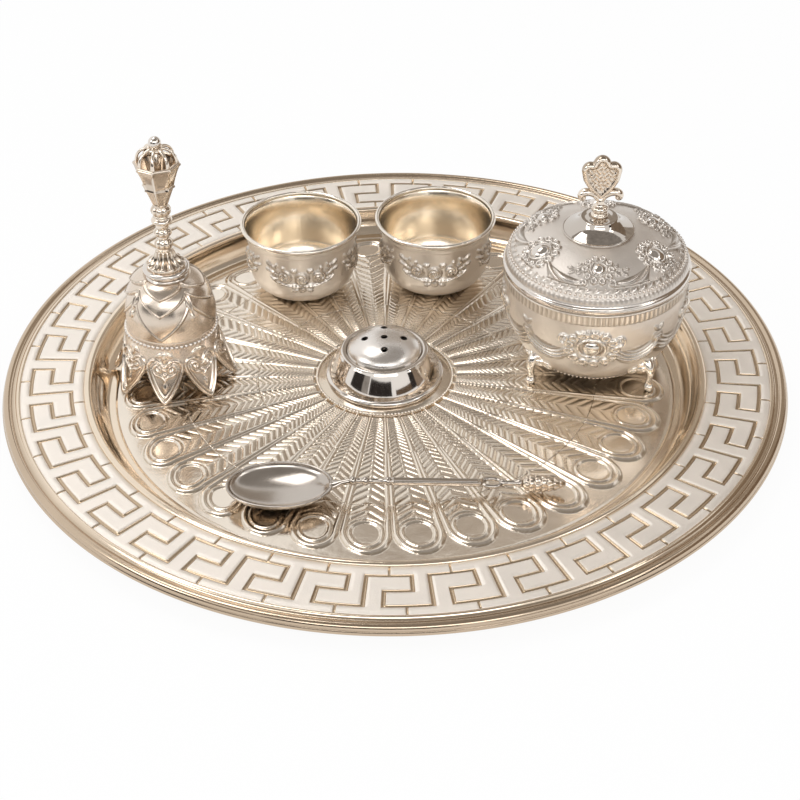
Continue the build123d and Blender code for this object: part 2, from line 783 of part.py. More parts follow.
def lid_finial():
    """Fan-shaped finial with a lobed crest, a knob below it and two scroll leaves."""
    sides = finial_points(finial_side_shares)
    crest = finial_points(finial_crest_shares)
    right = [Spline(*sides)]
    for start, end in zip(crest, crest[1:]):
        right.append(sagged_arc(start, end, -finial_lobe_rise))
    half = section(*right, Line(crest[-1], sides[0]))
    face = half + mirror(half, Plane.YZ)
    fan = extrude(Plane.XZ * face, finial_t / 2, both=True)
    knob = Pos(0, 0, finial_knob_r) * Sphere(finial_knob_r)
    stem = round_bar(finial_stem_r, finial_knob_r, finial_h - finial_fan_h / 2)
    body = fan + knob + stem - round_bar(finial_w, -finial_knob_r, 0)
    path = ThreePointArc(
        (0, 0, leaf_root_z),
        (leaf_reach / 2, 0, leaf_root_z + leaf_crest),
        (leaf_reach, 0, leaf_root_z + leaf_crest - leaf_drop),
    )
    leaf = sweep(Plane(path @ 0, z_dir=path % 0) * Circle(leaf_r), path)
    curl = Pos(*(path @ 1)) * Sphere(leaf_curl_r)
    for copy in turned_copies(leaf + curl, 2):
        body = body + copy
    body = body - round_bar(lid_screw_r, 0, lid_screw_grip + lid_screw_tip_gap)
    return Pos(0, 0, finial_z) * Rot(0, 0, -box_turn) * body


def lid_screw():
    """Round-headed screw from inside the lid up into the finial."""
    head_top = lid_top_z - lid_wall
    head = round_bar(lid_screw_head_r, head_top - lid_screw_head_h, head_top)
    seated = head - (lid_shape(0) - lid_shape(lid_wall))
    return seated + round_bar(lid_screw_r, head_top - lid_screw_head_h, finial_z + lid_screw_grip)


def spoon_hollow(inset):
    """Half of a long rounded form, below the spoon's rim, drawn in by an inset."""
    sizes = (spoon_bowl_l / 2 - inset, spoon_bowl_w / 2 - inset, spoon_bowl_depth - inset)
    whole = Pos(spoon_bowl_x, 0, spoon_rim_z) * scale(Sphere(1), by=sizes)
    top = Pos(spoon_bowl_x, 0, 0) * round_bar(spoon_bowl_l, spoon_rim_z, spoon_rim_z + spoon_bowl_l)
    return whole - top


def spoon_bowl():
    """Shallow bowl of the spoon."""
    return spoon_hollow(0) - spoon_hollow(spoon_wall)


def along(start, end):
    """Middle and length of a stretch along the spoon."""
    return (start + end) / 2, end - start


def spoon_rod(radius, start, end):
    """Round stretch of the handle."""
    middle, length = along(start, end)
    return Pos(middle, 0, 0) * Rot(0, 90, 0) * Cylinder(radius, length)


def dipped(shape):
    """Tilt a stretch of the handle about the end of the neck, so that the bud lies on the floor."""
    return Pos(spoon_stem_x, 0, spoon_axis_z) * Rot(0, spoon_dip, 0) * Pos(-spoon_stem_x, 0, 0) * shape


def spoon_handle():
    """Handle from the bowl's edge to the bud: neck, knops, flat bar, open link and tail."""
    neck_z = spoon_rim_z - spoon_neck_r
    bend_x = (spoon_neck_x + spoon_stem_x) / 2
    path = FilletPolyline(
        (spoon_neck_x - spoon_wall, 0, neck_z),
        (bend_x - spoon_neck_r, 0, neck_z),
        (bend_x + spoon_neck_r, 0, spoon_axis_z),
        (spoon_stem_x + spoon_stem_r, 0, spoon_axis_z),
        radius=2 * spoon_neck_r,
    )
    neck = sweep(Plane(path @ 0, z_dir=path % 0) * Circle(spoon_neck_r), path)
    shaft = spoon_rod(spoon_stem_r, spoon_stem_x, spoon_bar_x)
    for knop_x in spoon_knop_xs:
        shaft = shaft + spoon_rod(spoon_knop_r, knop_x - spoon_knop_w / 2, knop_x + spoon_knop_w / 2)
    bar_x, bar_l = along(spoon_bar_x, spoon_link_x + spoon_link_wire)
    shaft = shaft + Pos(bar_x, 0, 0) * Box(bar_l, spoon_bar_w, spoon_bar_t)
    link_x, link_l = along(spoon_link_x, spoon_tail_x)
    outer = SlotOverall(link_l, spoon_link_w)
    inner = SlotOverall(link_l - 2 * spoon_link_wire, spoon_link_w - 2 * spoon_link_wire)
    link = extrude(Pos(link_x, 0, 0) * (outer - inner), spoon_link_wire / 2, both=True)
    tail = spoon_rod(spoon_stem_r, spoon_tail_x - spoon_link_wire / 2, spoon_bud_x)
    return neck + dipped(shaft + link + tail) - spoon_hollow(0)


def spoon_bud():
    """Swelling bud at the end of the handle."""
    swell = (spoon_swell_x, spoon_bud_r)
    end_x = spoon_bud_x + spoon_bud_l
    tip = (end_x, spoon_bud_neck_r / 2)
    outline = section(
        Line((spoon_bud_x, 0), (spoon_bud_x, spoon_bud_neck_r)),
        Spline((spoon_bud_x, spoon_bud_neck_r), swell, tangents=((0, 1), (1, 0))),
        Spline(swell, tip, tangents=((1, 0), (1, -1))),
        Polyline(tip, (end_x, 0), (spoon_bud_x, 0)),
    )
    return dipped(revolve(outline, Axis.X))


def bell_pieces():
    """Every piece of the bell and its clapper, about the bell's own axis."""
    return {
        "bell_petal_skirt": bell_petal_skirt(),
        "bell_cup": bell_cup(),
        "bell_bead_ring": bell_bead_ring(),
        "bell_shoulder_ring": bell_shoulder_ring(),
        "bell_handle_collar": bell_handle_collar(),
        "bell_handle_stem": bell_handle_stem(),
        "bell_crown_cup": bell_crown_cup(),
        "bell_crown_cage": bell_crown_cage(),
        "bell_handle_ball": bell_handle_ball(),
        "bell_eye_screw": bell_eye_screw(),
        "clapper_link": clapper_link(),
        "clapper_ball": clapper_ball(),
    }


def box_pieces():
    """Every piece of the box and its lid, about the box's own axis."""
    pieces = {
        "box_body": box_body(),
        "box_flute_band": box_flute_band(),
        "lid_dome": lid_dome(),
        "lid_flange": lid_flange(),
        "lid_collar": lid_collar(),
        "lid_finial": lid_finial(),
        "lid_screw": lid_screw(),
    }
    feet = turned_copies(box_foot(), foot_count, 180 / foot_count)
    for number, foot in enumerate(feet, start=1):
        pieces[f"box_foot_{number}"] = foot
    return pieces


def assembly():
    """Every named piece in its place on the tray."""
    pieces = {"thali_tray": thali_tray()}
    incense_place = Pos(incense_x, incense_y, tray_sheet)
    pieces["incense_base"] = incense_place * incense_base()
    pieces["incense_dome"] = incense_place * incense_dome()
    bell_d = well_r - skirt_r - bell_wall_gap
    for name, shape in bell_pieces().items():
        pieces[name] = set_down(shape, bell_d, bell_bearing, bell_turn)
    bowl_d = well_r - bowl_rim_r
    pieces["bowl_left"] = set_down(bowl(), bowl_d - bowl_left_wall_gap, bowl_left_bearing)
    pieces["bowl_right"] = set_down(bowl(), bowl_d - bowl_right_wall_gap, bowl_right_bearing)
    box_d = box_distance()
    for name, shape in box_pieces().items():
        pieces[name] = set_down(shape, box_d, box_bearing, box_turn)
    spoon_d = well_r - spoon_front_gap
    for name, shape in (("bowl", spoon_bowl()), ("handle", spoon_handle()), ("bud", spoon_bud())):
        pieces[f"spoon_{name}"] = set_down(shape, spoon_d, -90, spoon_turn)
    return pieces


os.makedirs("parts", exist_ok=True)
for node, shape in assembly().items():
    export_step(shape, f"parts/{node}.step")

swing = degrees(asin((cup_r - bell_wall - clapper_ball_r - lift_gap) / clapper_arm))
print(f"clapper swing limit {swing:.1f} degrees, pivot height {tray_sheet + pivot_z:.2f}")
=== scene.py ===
"""Looks of a puja thali set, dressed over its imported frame.

Shapes are drawn in millimetres and become metres when a mesh is made. Bearings and turns are in degrees.
"""
import logging
from dataclasses import dataclass, field, replace
from enum import Enum
from functools import reduce
from typing import Callable, Sequence

import bmesh
import bpy
import numpy as np
from mathutils import Matrix, Vector
from mathutils.geometry import delaunay_2d_cdt


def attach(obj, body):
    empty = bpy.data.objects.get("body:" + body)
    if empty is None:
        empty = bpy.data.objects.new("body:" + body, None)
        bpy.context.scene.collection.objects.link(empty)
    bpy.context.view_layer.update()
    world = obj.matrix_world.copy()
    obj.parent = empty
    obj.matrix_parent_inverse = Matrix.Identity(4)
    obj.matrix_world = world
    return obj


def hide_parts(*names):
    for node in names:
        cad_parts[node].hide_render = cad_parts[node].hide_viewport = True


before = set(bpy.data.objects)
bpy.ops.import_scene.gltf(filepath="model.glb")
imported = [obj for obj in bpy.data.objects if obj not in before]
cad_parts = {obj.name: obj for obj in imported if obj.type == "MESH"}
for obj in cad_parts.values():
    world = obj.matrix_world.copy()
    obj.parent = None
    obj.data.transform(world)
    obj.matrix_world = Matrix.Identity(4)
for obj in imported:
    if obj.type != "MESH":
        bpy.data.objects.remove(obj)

LOG = logging.getLogger("thali")
TAU = 2.0 * np.pi
# One millimetre, and the distance below which points become one, in metres
MM = 0.001
WELD = 3.0e-6
# Points round a bead and from pole to pole
BEAD_SIDES, BEAD_RINGS = 8, 6
# Height of the tray's floor, on which the other pieces stand
FLOOR_TOP = 1.5
# Values kept at the points of a mesh: relief is 0 in a hollow and 1 on top, and is also set low on some whole parts and
# edges as painted shade; polish 0 where matt and 1 where bright
MARKS = ("relief", "polish")
Array = np.ndarray
Pair = tuple[float, float]
Row = tuple[float, ...]
Triple = tuple[float, float, float]
Color = Triple
Marks = dict[str, Array]
Piece = bpy.types.Object
Socket = bpy.types.NodeSocket
Tree = bpy.types.NodeTree


class Slot(Enum):
    """Finishes that the record names."""

    ENGRAVED = "silver_engraved"
    POLISHED = "silver_polished"
    SATIN = "silver_satin"
    FROSTED = "silver_frosted"


# Small sums for profiles and reliefs


def unit(value: Array) -> Array:
    """Value held between 0 and 1."""
    return np.clip(value, 0.0, 1.0)


def highest(*values: Array) -> Array:
    """Greatest of several values, point by point."""
    return reduce(np.maximum, values)


def grid(*parts: Array) -> Array:
    """Points from their coordinates."""
    return np.stack(np.broadcast_arrays(*parts), axis=-1)


def smooth(value: Array, low: float, high: float) -> Array:
    """Soft step that leaves 0 at the low value and reaches 1 at the high one."""
    share = unit((value - low) / (high - low))
    return share * share * (3.0 - 2.0 * share)


def swell(distance: Array, half: Array | float) -> Array:
    """Rounded ridge: 1 on its crest, falling to 0 at half its width."""
    return unit(1.0 - (distance / half) ** 2) ** 0.75


def ball(distance: Array, radius: float) -> Array:
    """Height share of a half ball at a distance from its middle."""
    return np.sqrt(unit(1.0 - (distance / radius) ** 2))


def arc(middle: Pair, across: float, up: float, start: float, end: float, count: int) -> Array:
    """Points on an ellipse, by its half width and half height, with angles from the outward side."""
    turn = np.radians(np.linspace(start, end, count))
    return grid(middle[0] + across * np.cos(turn), middle[1] + up * np.sin(turn))


def joined(*parts: Sequence) -> Array:
    """One profile from several, without doubled points.

    Args:
        parts: Lists of points that follow one another.

    Returns:
        All points in order.
    """
    points = np.concatenate([np.asarray(part, float).reshape(-1, 2) for part in parts])
    keep = np.ones(len(points), bool)
    keep[1:] = np.hypot(*np.diff(points, axis=0).T) > 1e-4
    return points[keep]


def walked(points: Array) -> Array:
    """Distance walked along a profile, at each of its points."""
    return np.concatenate([[0.0], np.cumsum(np.hypot(*np.diff(points, axis=0).T))])


def even(points: Array, count: int) -> Array:
    """Points set at even steps along a profile.

    Args:
        points: Profile to walk along.
        count: How many points to set.

    Returns:
        The new profile.
    """
    run = walked(points)
    stops = np.linspace(0.0, run[-1], count)
    return np.stack([np.interp(stops, run, points[:, axis]) for axis in (0, 1)], axis=1)


def bend(stops: Sequence, count: int) -> Array:
    """Smooth curve pulled by a row of points.

    Args:
        stops: Points that pull the curve; it starts at the first and ends at the last.
        count: How many points to return.

    Returns:
        Points on the curve.
    """
    pull = np.asarray(stops, float)[:, None, :]
    share = np.linspace(0.0, 1.0, count)[None, :, None]
    while len(pull) > 1:
        pull = pull[:-1] * (1.0 - share) + pull[1:] * share
    return pull[0]


def ribbon(x: Array, y: Array, path: Array) -> tuple[Array, Array]:
    """Place of points beside a path.

    Args:
        x: First coordinate of the points.
        y: Second coordinate of the points.
        path: Points of the path.

    Returns:
        Share of the way along, and distance, positive on the left.
    """
    x, y = np.broadcast_arrays(x, y)
    spots = grid(x.ravel(), y.ravel())
    step = np.diff(path, axis=0)
    away = spots[:, None, :] - path[None, :-1]
    share = unit((away * step).sum(2) / (step**2).sum(1))
    gap = np.linalg.norm(away - share[..., None] * step, axis=2)
    near = gap.argmin(1)
    row = np.arange(len(spots))
    side = step[near, 0] * away[row, near, 1] - step[near, 1] * away[row, near, 0]
    length = (near + share[row, near]) / len(step)
    return length.reshape(x.shape), (np.sign(side) * gap[row, near]).reshape(x.shape)


def coil(middle: Pair, reach: float, turns: float, hand: int, start: float) -> Array:
    """Path of a flat scroll that winds inwards.

    Args:
        middle: Its middle.
        reach: Outer radius.
        turns: Number of turns.
        hand: 1 or -1 for the way it winds.
        start: Bearing of its outer end, in degrees.

    Returns:
        Points of the path.
    """
    share = np.linspace(0.0, 1.0, 26)
    turn = np.radians(start) + hand * TAU * turns * share
    out = reach * (1.0 - 0.88 * share)
    return grid(middle[0] + out * np.cos(turn), middle[1] + out * np.sin(turn))


def strand(x: Array, y: Array, path: Array, half: float) -> Array:
    """Height share of a rounded wire laid along a path."""
    return swell(ribbon(x, y, path)[1], half)


def leaf(x: Array, y: Array, start: Pair, end: Pair, half: float) -> Array:
    """Pointed leaf with a sunken midrib.

    Args:
        x: First coordinate.
        y: Second coordinate.
        start: Root of the leaf.
        end: Tip of the leaf.
        half: Half of its width.

    Returns:
        Height share of the leaf.
    """
    run = np.subtract(end, start)
    length = np.hypot(*run)
    reach = ((x - start[0]) * run[0] + (y - start[1]) * run[1]) / length
    aside = ((y - start[1]) * run[0] - (x - start[0]) * run[1]) / length
    along = unit(reach / length)
    edge = half * np.sin(np.pi * along) ** 0.7 + 1e-6
    body = unit(1.0 - (np.hypot(aside, reach - along * length) / edge) ** 2) ** 0.6
    return body * (1.0 - 0.45 * swell(aside, 0.3 * half))


def leaves(x: Array, y: Array, *sprigs: tuple) -> Array:
    """Several leaves, each given by its root, its tip and half its width."""
    return highest(*(leaf(x, y, *sprig) for sprig in sprigs))


def rose(x: Array, y: Array, radius: float, turn: float = 0.0) -> Array:
    """Open rose with curling petals.

    Args:
        x: First coordinate from its middle.
        y: Second coordinate from its middle.
        radius: Radius of the flower.
        turn: Turn of the petals, in degrees.

    Returns:
        Height share of the flower.
    """
    out = np.hypot(x, y) / radius
    bearing = np.arctan2(y, x) + np.radians(turn)
    rim = 1.0 - 0.1 * np.abs(np.sin(2.5 * bearing))
    petals = 0.5 + 0.5 * np.cos(TAU * (2.6 * out - 3.0 * bearing / TAU))
    return np.where(out < rim, (0.45 + 0.55 * petals) * swell(out, 1.02), 0.0)


def curls(x: Array, y: Array, ring_r: float, count: int, size: float) -> Array:
    """Ring of small open curls round the origin.

    Args:
        x: First coordinate.
        y: Second coordinate.
        ring_r: Radius of the ring's middle.
        count: How many curls.
        size: Radius of one curl.

    Returns:
        Height share of the ring.
    """
    part = TAU / count
    bearing = np.round(np.arctan2(y, x) / part) * part
    away = np.hypot(x - ring_r * np.cos(bearing), y - ring_r * np.sin(bearing))
    return highest(swell(away - 0.62 * size, 0.38 * size), 0.75 * ball(away, 0.32 * size))


# Meshes


@dataclass(frozen=True)
class Place:
    """Where a piece stands: its axis, its foot's height and its turn in degrees."""

    x: float = 0.0
    y: float = 0.0
    z: float = 0.0
    turn: float = 0.0

    def apply(self, points: Array) -> Array:
        """Points in the shared frame, in metres.

        Args:
            points: Points about the piece's own axis, in millimetres.

        Returns:
            The placed points.
        """
        c, s = np.cos(np.radians(self.turn)), np.sin(np.radians(self.turn))
        turned_points = points @ np.array([[c, s, 0.0], [-s, c, 0.0], [0.0, 0.0, 1.0]])
        return (turned_points + [self.x, self.y, self.z]) * MM

    def moved(self, up: float = 0.0, turn: float = 0.0) -> "Place":
        """The same place, raised or turned further."""
        return replace(self, z=self.z + up, turn=self.turn + turn)


@dataclass
class Patch:
    """Rows and columns of points, with the values kept at each of them."""

    points: Array
    marks: Marks = field(default_factory=dict)
    ring_rows: bool = False
    ring_cols: bool = True

    def faces(self) -> Array:
        """Corner numbers of the faces between rows and columns.

        Returns:
            Four corner numbers for each face.
        """
        rows, cols = self.points.shape[:2]
        row = np.arange(rows if self.ring_rows else rows - 1)
        col = np.arange(cols if self.ring_cols else cols - 1)
        low, left = np.meshgrid(row, col, indexing="ij")
        high, right = (low + 1) % rows, (left + 1) % cols
        corners = [low * cols + left, low * cols + right, high * cols + right, high * cols + left]
        quads = np.stack(corners, axis=-1).reshape(-1, 4)
        if self.ring_cols and self.volume(quads) < 0.0:
            quads = quads[:, ::-1]
        return quads

    def volume(self, quads: Array) -> float:
        """Volume that the faces close in, below zero when they point inwards.

        Args:
            quads: Corner numbers of the faces.

        Returns:
            The volume.
        """
        a, b, c, d = (self.points.reshape(-1, 3)[quads[:, k]] for k in range(4))
        halves = np.cross(a, b) * c + np.cross(a, c) * d
        return float(halves.sum())

    def toned(self, relief: float, polish: float) -> "Patch":
        """The same patch with one tone and one polish all over.

        Args:
            relief: The tone.
            polish: The polish.

        Returns:
            The patch itself.
        """
        flat = np.ones(self.points.shape[:2])
        self.marks = {"relief": relief * flat, "polish": polish * flat}
        return self

    def mark(self, name: str) -> Array:
        """Values of one mark at every point, 1 where none is given."""
        return self.marks.get(name, np.ones(self.points.shape[:2])).ravel()


@dataclass
class Spot:
    """Where the points of a turned surface lie before a relief is raised on it."""

    radius: Array
    height: Array
    along: Array
    angle: Array

    @property
    def across(self) -> Array:
        """Distance round the surface from the middle line."""
        return self.radius * self.angle


Raised = tuple[Array, Marks]
Relief = Callable[[Spot], Raised]


def spread(half: float, count: int) -> Array:
    """Angles, in radians, from minus to plus a half angle in degrees."""
    return np.radians(np.linspace(-half, half, count))


def full_turn(count: int) -> Array:
    """Angles of a whole turn, in radians."""
    return np.linspace(0.0, TAU, count, endpoint=False)


def round_spots(radius: float, count: int, middle: Pair = (0.0, 0.0), turn: float = 0.0) -> list:
    """Spots evenly round a circle, the first turned by some radians."""
    return [(middle[0] + radius * np.cos(t), middle[1] + radius * np.sin(t)) for t in full_turn(count) + turn]


def walled(
    radius: Array, height: Array, angle: Array, marks: Marks, front: int, back_polish: Array | float = 1.0
) -> Patch:
    """Wall about the upright axis, with the rows of its front first and those of its back after them.

    Args:
        radius: Radius of each point, in rows.
        height: Height of each point.
        angle: Angle of each column, in radians.
        marks: Marks of the front.
        front: How many rows the front has.
        back_polish: Polish of the back, or of each of its rows.

    Returns:
        The wall, open at its first and last column.
    """
    radius, height, angle = np.broadcast_arrays(radius, height, angle)
    points = grid(radius * np.cos(angle), radius * np.sin(angle), height)
    cols = points.shape[1]
    back = np.ones((len(points) - front, cols))
    values = {}
    for name, fill in zip(MARKS, (1.0, back_polish)):
        face = np.broadcast_to(marks.get(name, 1.0), (front, cols))
        values[name] = np.concatenate([face, np.reshape(fill, (-1, 1)) * back])
    return Patch(points, values, ring_rows=True, ring_cols=False)


def turned(
    outer: Array,
    angles: Array,
    relief: Relief | None = None,
    inner: Array | None = None,
    inner_polish: Array | float = 1.0,
) -> Patch:
    """Turned surface with a relief raised on its outside.

    Args:
        outer: Profile of the outside, from low to high.
        angles: Angles of the columns; a whole turn closes on itself.
        relief: Gives the height and the marks at each point of the outside.
        inner: Profile of the inside, from high to low, which closes the wall.
        inner_polish: Polish of the inside, or of each of its rows.

    Returns:
        The patch; its rows close into a ring where no end lies on the axis.
    """
    step = np.gradient(outer, axis=0)
    step /= np.linalg.norm(step, axis=1, keepdims=True)
    spot = Spot(outer[:, :1], outer[:, 1:], walked(outer)[:, None], angles[None, :])
    lift, marks = relief(spot) if relief else (0.0, {})
    lift = np.broadcast_to(lift, (len(outer), len(angles)))
    radius = outer[:, :1] + lift * step[:, 1:]
    height = outer[:, 1:] - lift * step[:, :1]
    if inner is not None:
        radius = np.concatenate([radius, inner[:, :1] + 0.0 * angles])
        height = np.concatenate([height, inner[:, 1:] + 0.0 * angles])
    patch = walled(radius, height, angles, marks, len(outer), inner_polish)
    patch.ring_rows = min(radius[0].max(), radius[-1].max()) >= 1e-6
    patch.ring_cols = abs(angles[-1] + angles[1] - 2.0 * angles[0] - TAU) < 1e-6
    return patch


def swept(path: Array, wide: Array, thick: Array, side: Sequence[float], sides: int = 14, square: float = 1.0) -> Patch:
    """Bar that follows a path, closed at both ends.

    Args:
        path: Points of the bar's middle line.
        wide: Half width across the path at each point.
        thick: Half thickness at each point.
        side: Direction of the width.
        sides: Points round the bar.
        square: 1 for a round section, less for one nearer to a rectangle.

    Returns:
        The bar's surface.
    """
    step = np.gradient(path, axis=0)
    step /= np.linalg.norm(step, axis=1, keepdims=True)
    over = np.cross(step, np.asarray(side, float))
    over /= np.linalg.norm(over, axis=1, keepdims=True)
    across = np.cross(over, step)
    turn = full_turn(sides)
    c = np.sign(np.cos(turn)) * np.abs(np.cos(turn)) ** square
    s = np.sign(np.sin(turn)) * np.abs(np.sin(turn)) ** square
    wide, thick = np.broadcast_to(wide, len(path)), np.broadcast_to(thick, len(path))
    ring = path[:, None] + (wide[:, None] * c)[..., None] * across[:, None]
    ring = ring + (thick[:, None] * s)[..., None] * over[:, None]
    ends = [np.repeat(path[k][None, None], sides, axis=1) for k in (0, -1)]
    return Patch(np.concatenate([ends[0], ring, ends[1]]))


def write_mark(mesh: bpy.types.Mesh, name: str, values: Array) -> None:
    """Keep one value at each point of a mesh."""
    mesh.attributes.new(name, "FLOAT", "POINT").data.foreach_set("value", values.astype(np.float32))


def shown(name: str, data: bpy.types.ID) -> Piece:
    """New object in the scene.

    Args:
        name: Its name.
        data: Its mesh, lamp or camera.

    Returns:
        The object, at the origin.
    """
    piece = bpy.data.objects.new(name, data)
    bpy.context.scene.collection.objects.link(piece)
    return piece


def mesh_of(name: str, patches: Sequence[Patch], place: Place) -> bpy.types.Mesh:
    """Welded mesh of one or more patches.

    Args:
        name: Name of the mesh.
        patches: The patches.
        place: Where they stand.

    Returns:
        The mesh, with the marks as point attributes.
    """
    faces, count = [], 0
    for patch in patches:
        faces.append(patch.faces() + count)
        count += patch.points.shape[0] * patch.points.shape[1]
    points = place.apply(np.concatenate([patch.points.reshape(-1, 3) for patch in patches]))
    mesh = bpy.data.meshes.new(name)
    mesh.from_pydata(points.tolist(), [], np.concatenate(faces).tolist(), shade_flat=False)
    for mark in MARKS:
        write_mark(mesh, mark, np.concatenate([patch.mark(mark) for patch in patches]))
    work = bmesh.new()
    work.from_mesh(mesh)
    bmesh.ops.remove_doubles(work, verts=work.verts, dist=WELD)
    work.to_mesh(mesh)
    work.free()
    return mesh


def solid(name: str, patches: Sequence[Patch], finish: "Metal", place: Place = Place()) -> Piece:
    """Piece made straight from patches.

    Args:
        name: Name of the piece.
        patches: Its patches.
        finish: Its finish.
        place: Where it stands.

    Returns:
        The object, with its place in its mesh.
    """
    mesh = mesh_of(name, patches, place)
    mesh.materials.append(finish.material())
    return shown(name, mesh)


# Node trees for what repeats


def laid(tree: Tree, kind: str, inputs: dict | None = None, **settings: object) -> bpy.types.Node:
    """New node in a tree.

    Args:
        tree: The tree.
        kind: Kind of the node.
        inputs: What each input gets, by its name or number: an output to link to, or a value.
        settings: Other settings of the node.

    Returns:
        The node.
    """
    node = tree.nodes.new(kind)
    for name, value in settings.items():
        setattr(node, name, value)
    for key, value in (inputs or {}).items():
        if isinstance(value, Socket):
            tree.links.new(value, node.inputs[key])
        else:
            node.inputs[key].default_value = value
    return node


def new_tree(name: str, **inputs: str) -> Tree:
    """Empty geometry tree with named inputs.

    Args:
        name: Name of the tree.
        inputs: Kind of each input, by its name.

    Returns:
        The tree.
    """
    tree = bpy.data.node_groups.new(name, "GeometryNodeTree")
    tree.interface.new_socket("Geometry", in_out="OUTPUT", socket_type="NodeSocketGeometry")
    for label, kind in inputs.items():
        tree.interface.new_socket(label, in_out="INPUT", socket_type="NodeSocket" + kind)
    return tree


def ending(tree: Tree, given: bpy.types.Node, copies: Socket) -> None:
    """Close a tree: real copies, welded, set in place and given their finish.

    Args:
        tree: Tree to close.
        given: Its group input.
        copies: Output that carries the instances.
    """
    real = laid(tree, "GeometryNodeRealizeInstances", {"Geometry": copies})
    weld = laid(tree, "GeometryNodeMergeByDistance", {"Geometry": real.outputs[0], "Distance": WELD})
    put = {"Geometry": weld.outputs[0], "Translation": given.outputs["Place"]}
    paint = {"Geometry": laid(tree, "GeometryNodeTransform", put).outputs[0], "Material": given.outputs["Finish"]}
    laid(tree, "NodeGroupOutput", {"Geometry": laid(tree, "GeometryNodeSetMaterial", paint).outputs[0]})


def round_tree() -> Tree:
    """Tree that sets copies of one piece evenly round an upright axis.

    Returns:
        The tree, made once.
    """
    name = "copies_round_axis"
    if name in bpy.data.node_groups:
        return bpy.data.node_groups[name]
    tree = new_tree(name, Geometry="Geometry", Count="Int", Turn="Float", Place="Vector", Finish="Material")
    given = laid(tree, "NodeGroupInput")
    count = given.outputs["Count"]
    step = laid(tree, "ShaderNodeMath", {0: TAU, 1: count}, operation="DIVIDE")
    index = laid(tree, "GeometryNodeInputIndex")
    sums = {0: index.outputs[0], 1: step.outputs[0], 2: given.outputs["Turn"]}
    angle = laid(tree, "ShaderNodeMath", sums, operation="MULTIPLY_ADD")
    euler = laid(tree, "ShaderNodeCombineXYZ", {"Z": angle.outputs[0]})
    turn = laid(tree, "FunctionNodeEulerToRotation", {"Euler": euler.outputs[0]})
    points = laid(tree, "GeometryNodePoints", {"Count": count})
    copies = laid(tree, "GeometryNodeInstanceOnPoints", {
        "Points": points.outputs[0],
        "Instance": given.outputs["Geometry"],
        "Rotation": turn.outputs[0],
    })
    ending(tree, given, copies.outputs["Instances"])
    return tree


def bead_tree() -> Tree:
    """Tree that threads small balls on a ring.

    Returns:
        The tree, made once.
    """
    name = "beads_on_ring"
    if name in bpy.data.node_groups:
        return bpy.data.node_groups[name]
    tree = new_tree(
        name, Geometry="Geometry", Count="Int", Ring="Float", Bead="Float", Place="Vector", Finish="Material"
    )
    given = laid(tree, "NodeGroupInput")
    ring = laid(tree, "GeometryNodeMeshCircle", {
        "Vertices": given.outputs["Count"],
        "Radius": given.outputs["Ring"],
    })
    shape = {"Segments": BEAD_SIDES, "Rings": BEAD_RINGS, "Radius": given.outputs["Bead"]}
    bead = laid(tree, "GeometryNodeMeshUVSphere", shape)
    soft = laid(tree, "GeometryNodeSetShadeSmooth", {"Geometry": bead.outputs["Mesh"]})
    copies = laid(tree, "GeometryNodeInstanceOnPoints", {
        "Points": ring.outputs["Mesh"],
        "Instance": soft.outputs["Geometry"],
    })
    ending(tree, given, copies.outputs["Instances"])
    return tree


def grown(seed: Piece, tree: Tree, finish: "Metal", place: Place, values: dict) -> Piece:
    """Run a tree on a seed and keep the result as a plain piece.

    Args:
        seed: Object that the tree works on; the piece takes its name and its place in the scene.
        tree: The tree.
        finish: Finish of the piece.
        place: Where the piece stands.
        values: The tree's other inputs by name.

    Returns:
        The new piece.
    """
    values["Place"] = tuple(MM * value for value in (place.x, place.y, place.z))
    values["Finish"] = finish.material()
    modifier = seed.modifiers.new("grow", "NODES")
    modifier.node_group = tree
    for item in tree.interface.items_tree:
        if item.item_type == "SOCKET" and item.in_out == "INPUT" and item.name in values:
            modifier[item.identifier] = values[item.name]
    bpy.context.view_layer.update()
    mesh = bpy.data.meshes.new_from_object(seed.evaluated_get(bpy.context.evaluated_depsgraph_get()))
    for mark in MARKS:
        if mark not in mesh.attributes:
            write_mark(mesh, mark, np.ones(len(mesh.vertices)))
    seed.modifiers.remove(modifier)
    old, name = seed.data, seed.name
    bpy.data.objects.remove(seed)
    bpy.data.meshes.remove(old)
    mesh.name = name
    return shown(name, mesh)


def round_copies(name: str, patches: Sequence[Patch], count: int, finish: "Metal", place: Place) -> Piece:
    """Piece made of even copies round its axis; the place's turn is that of the first copy."""
    values = {"Count": count, "Turn": float(np.radians(place.turn))}
    return grown(solid(name, patches, finish), round_tree(), finish, place, values)


def beads(name: str, ring_r: float, count: int, bead_r: float, finish: "Metal", place: Place) -> Piece:
    """Ring of beads round a place."""
    values = {"Count": count, "Ring": ring_r * MM, "Bead": bead_r * MM}
    return grown(shown(name, bpy.data.meshes.new(name)), bead_tree(), finish, place, values)


def settle(piece: Piece, body: str, slot: Slot, *nodes: str) -> None:
    """Hand a finished piece to the frame and report it.

    Args:
        piece: The piece.
        body: Body that it rides on.
        slot: Finish that the record names; not used.
        nodes: Nodes of the frame that it stands for.
    """
    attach(piece, body)
    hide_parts(*nodes)
    corners = sum(len(face.vertices) - 2 for face in piece.data.polygons)
    LOG.info("%s rides on %s with %d triangles", piece.name, body, corners)


# Finishes


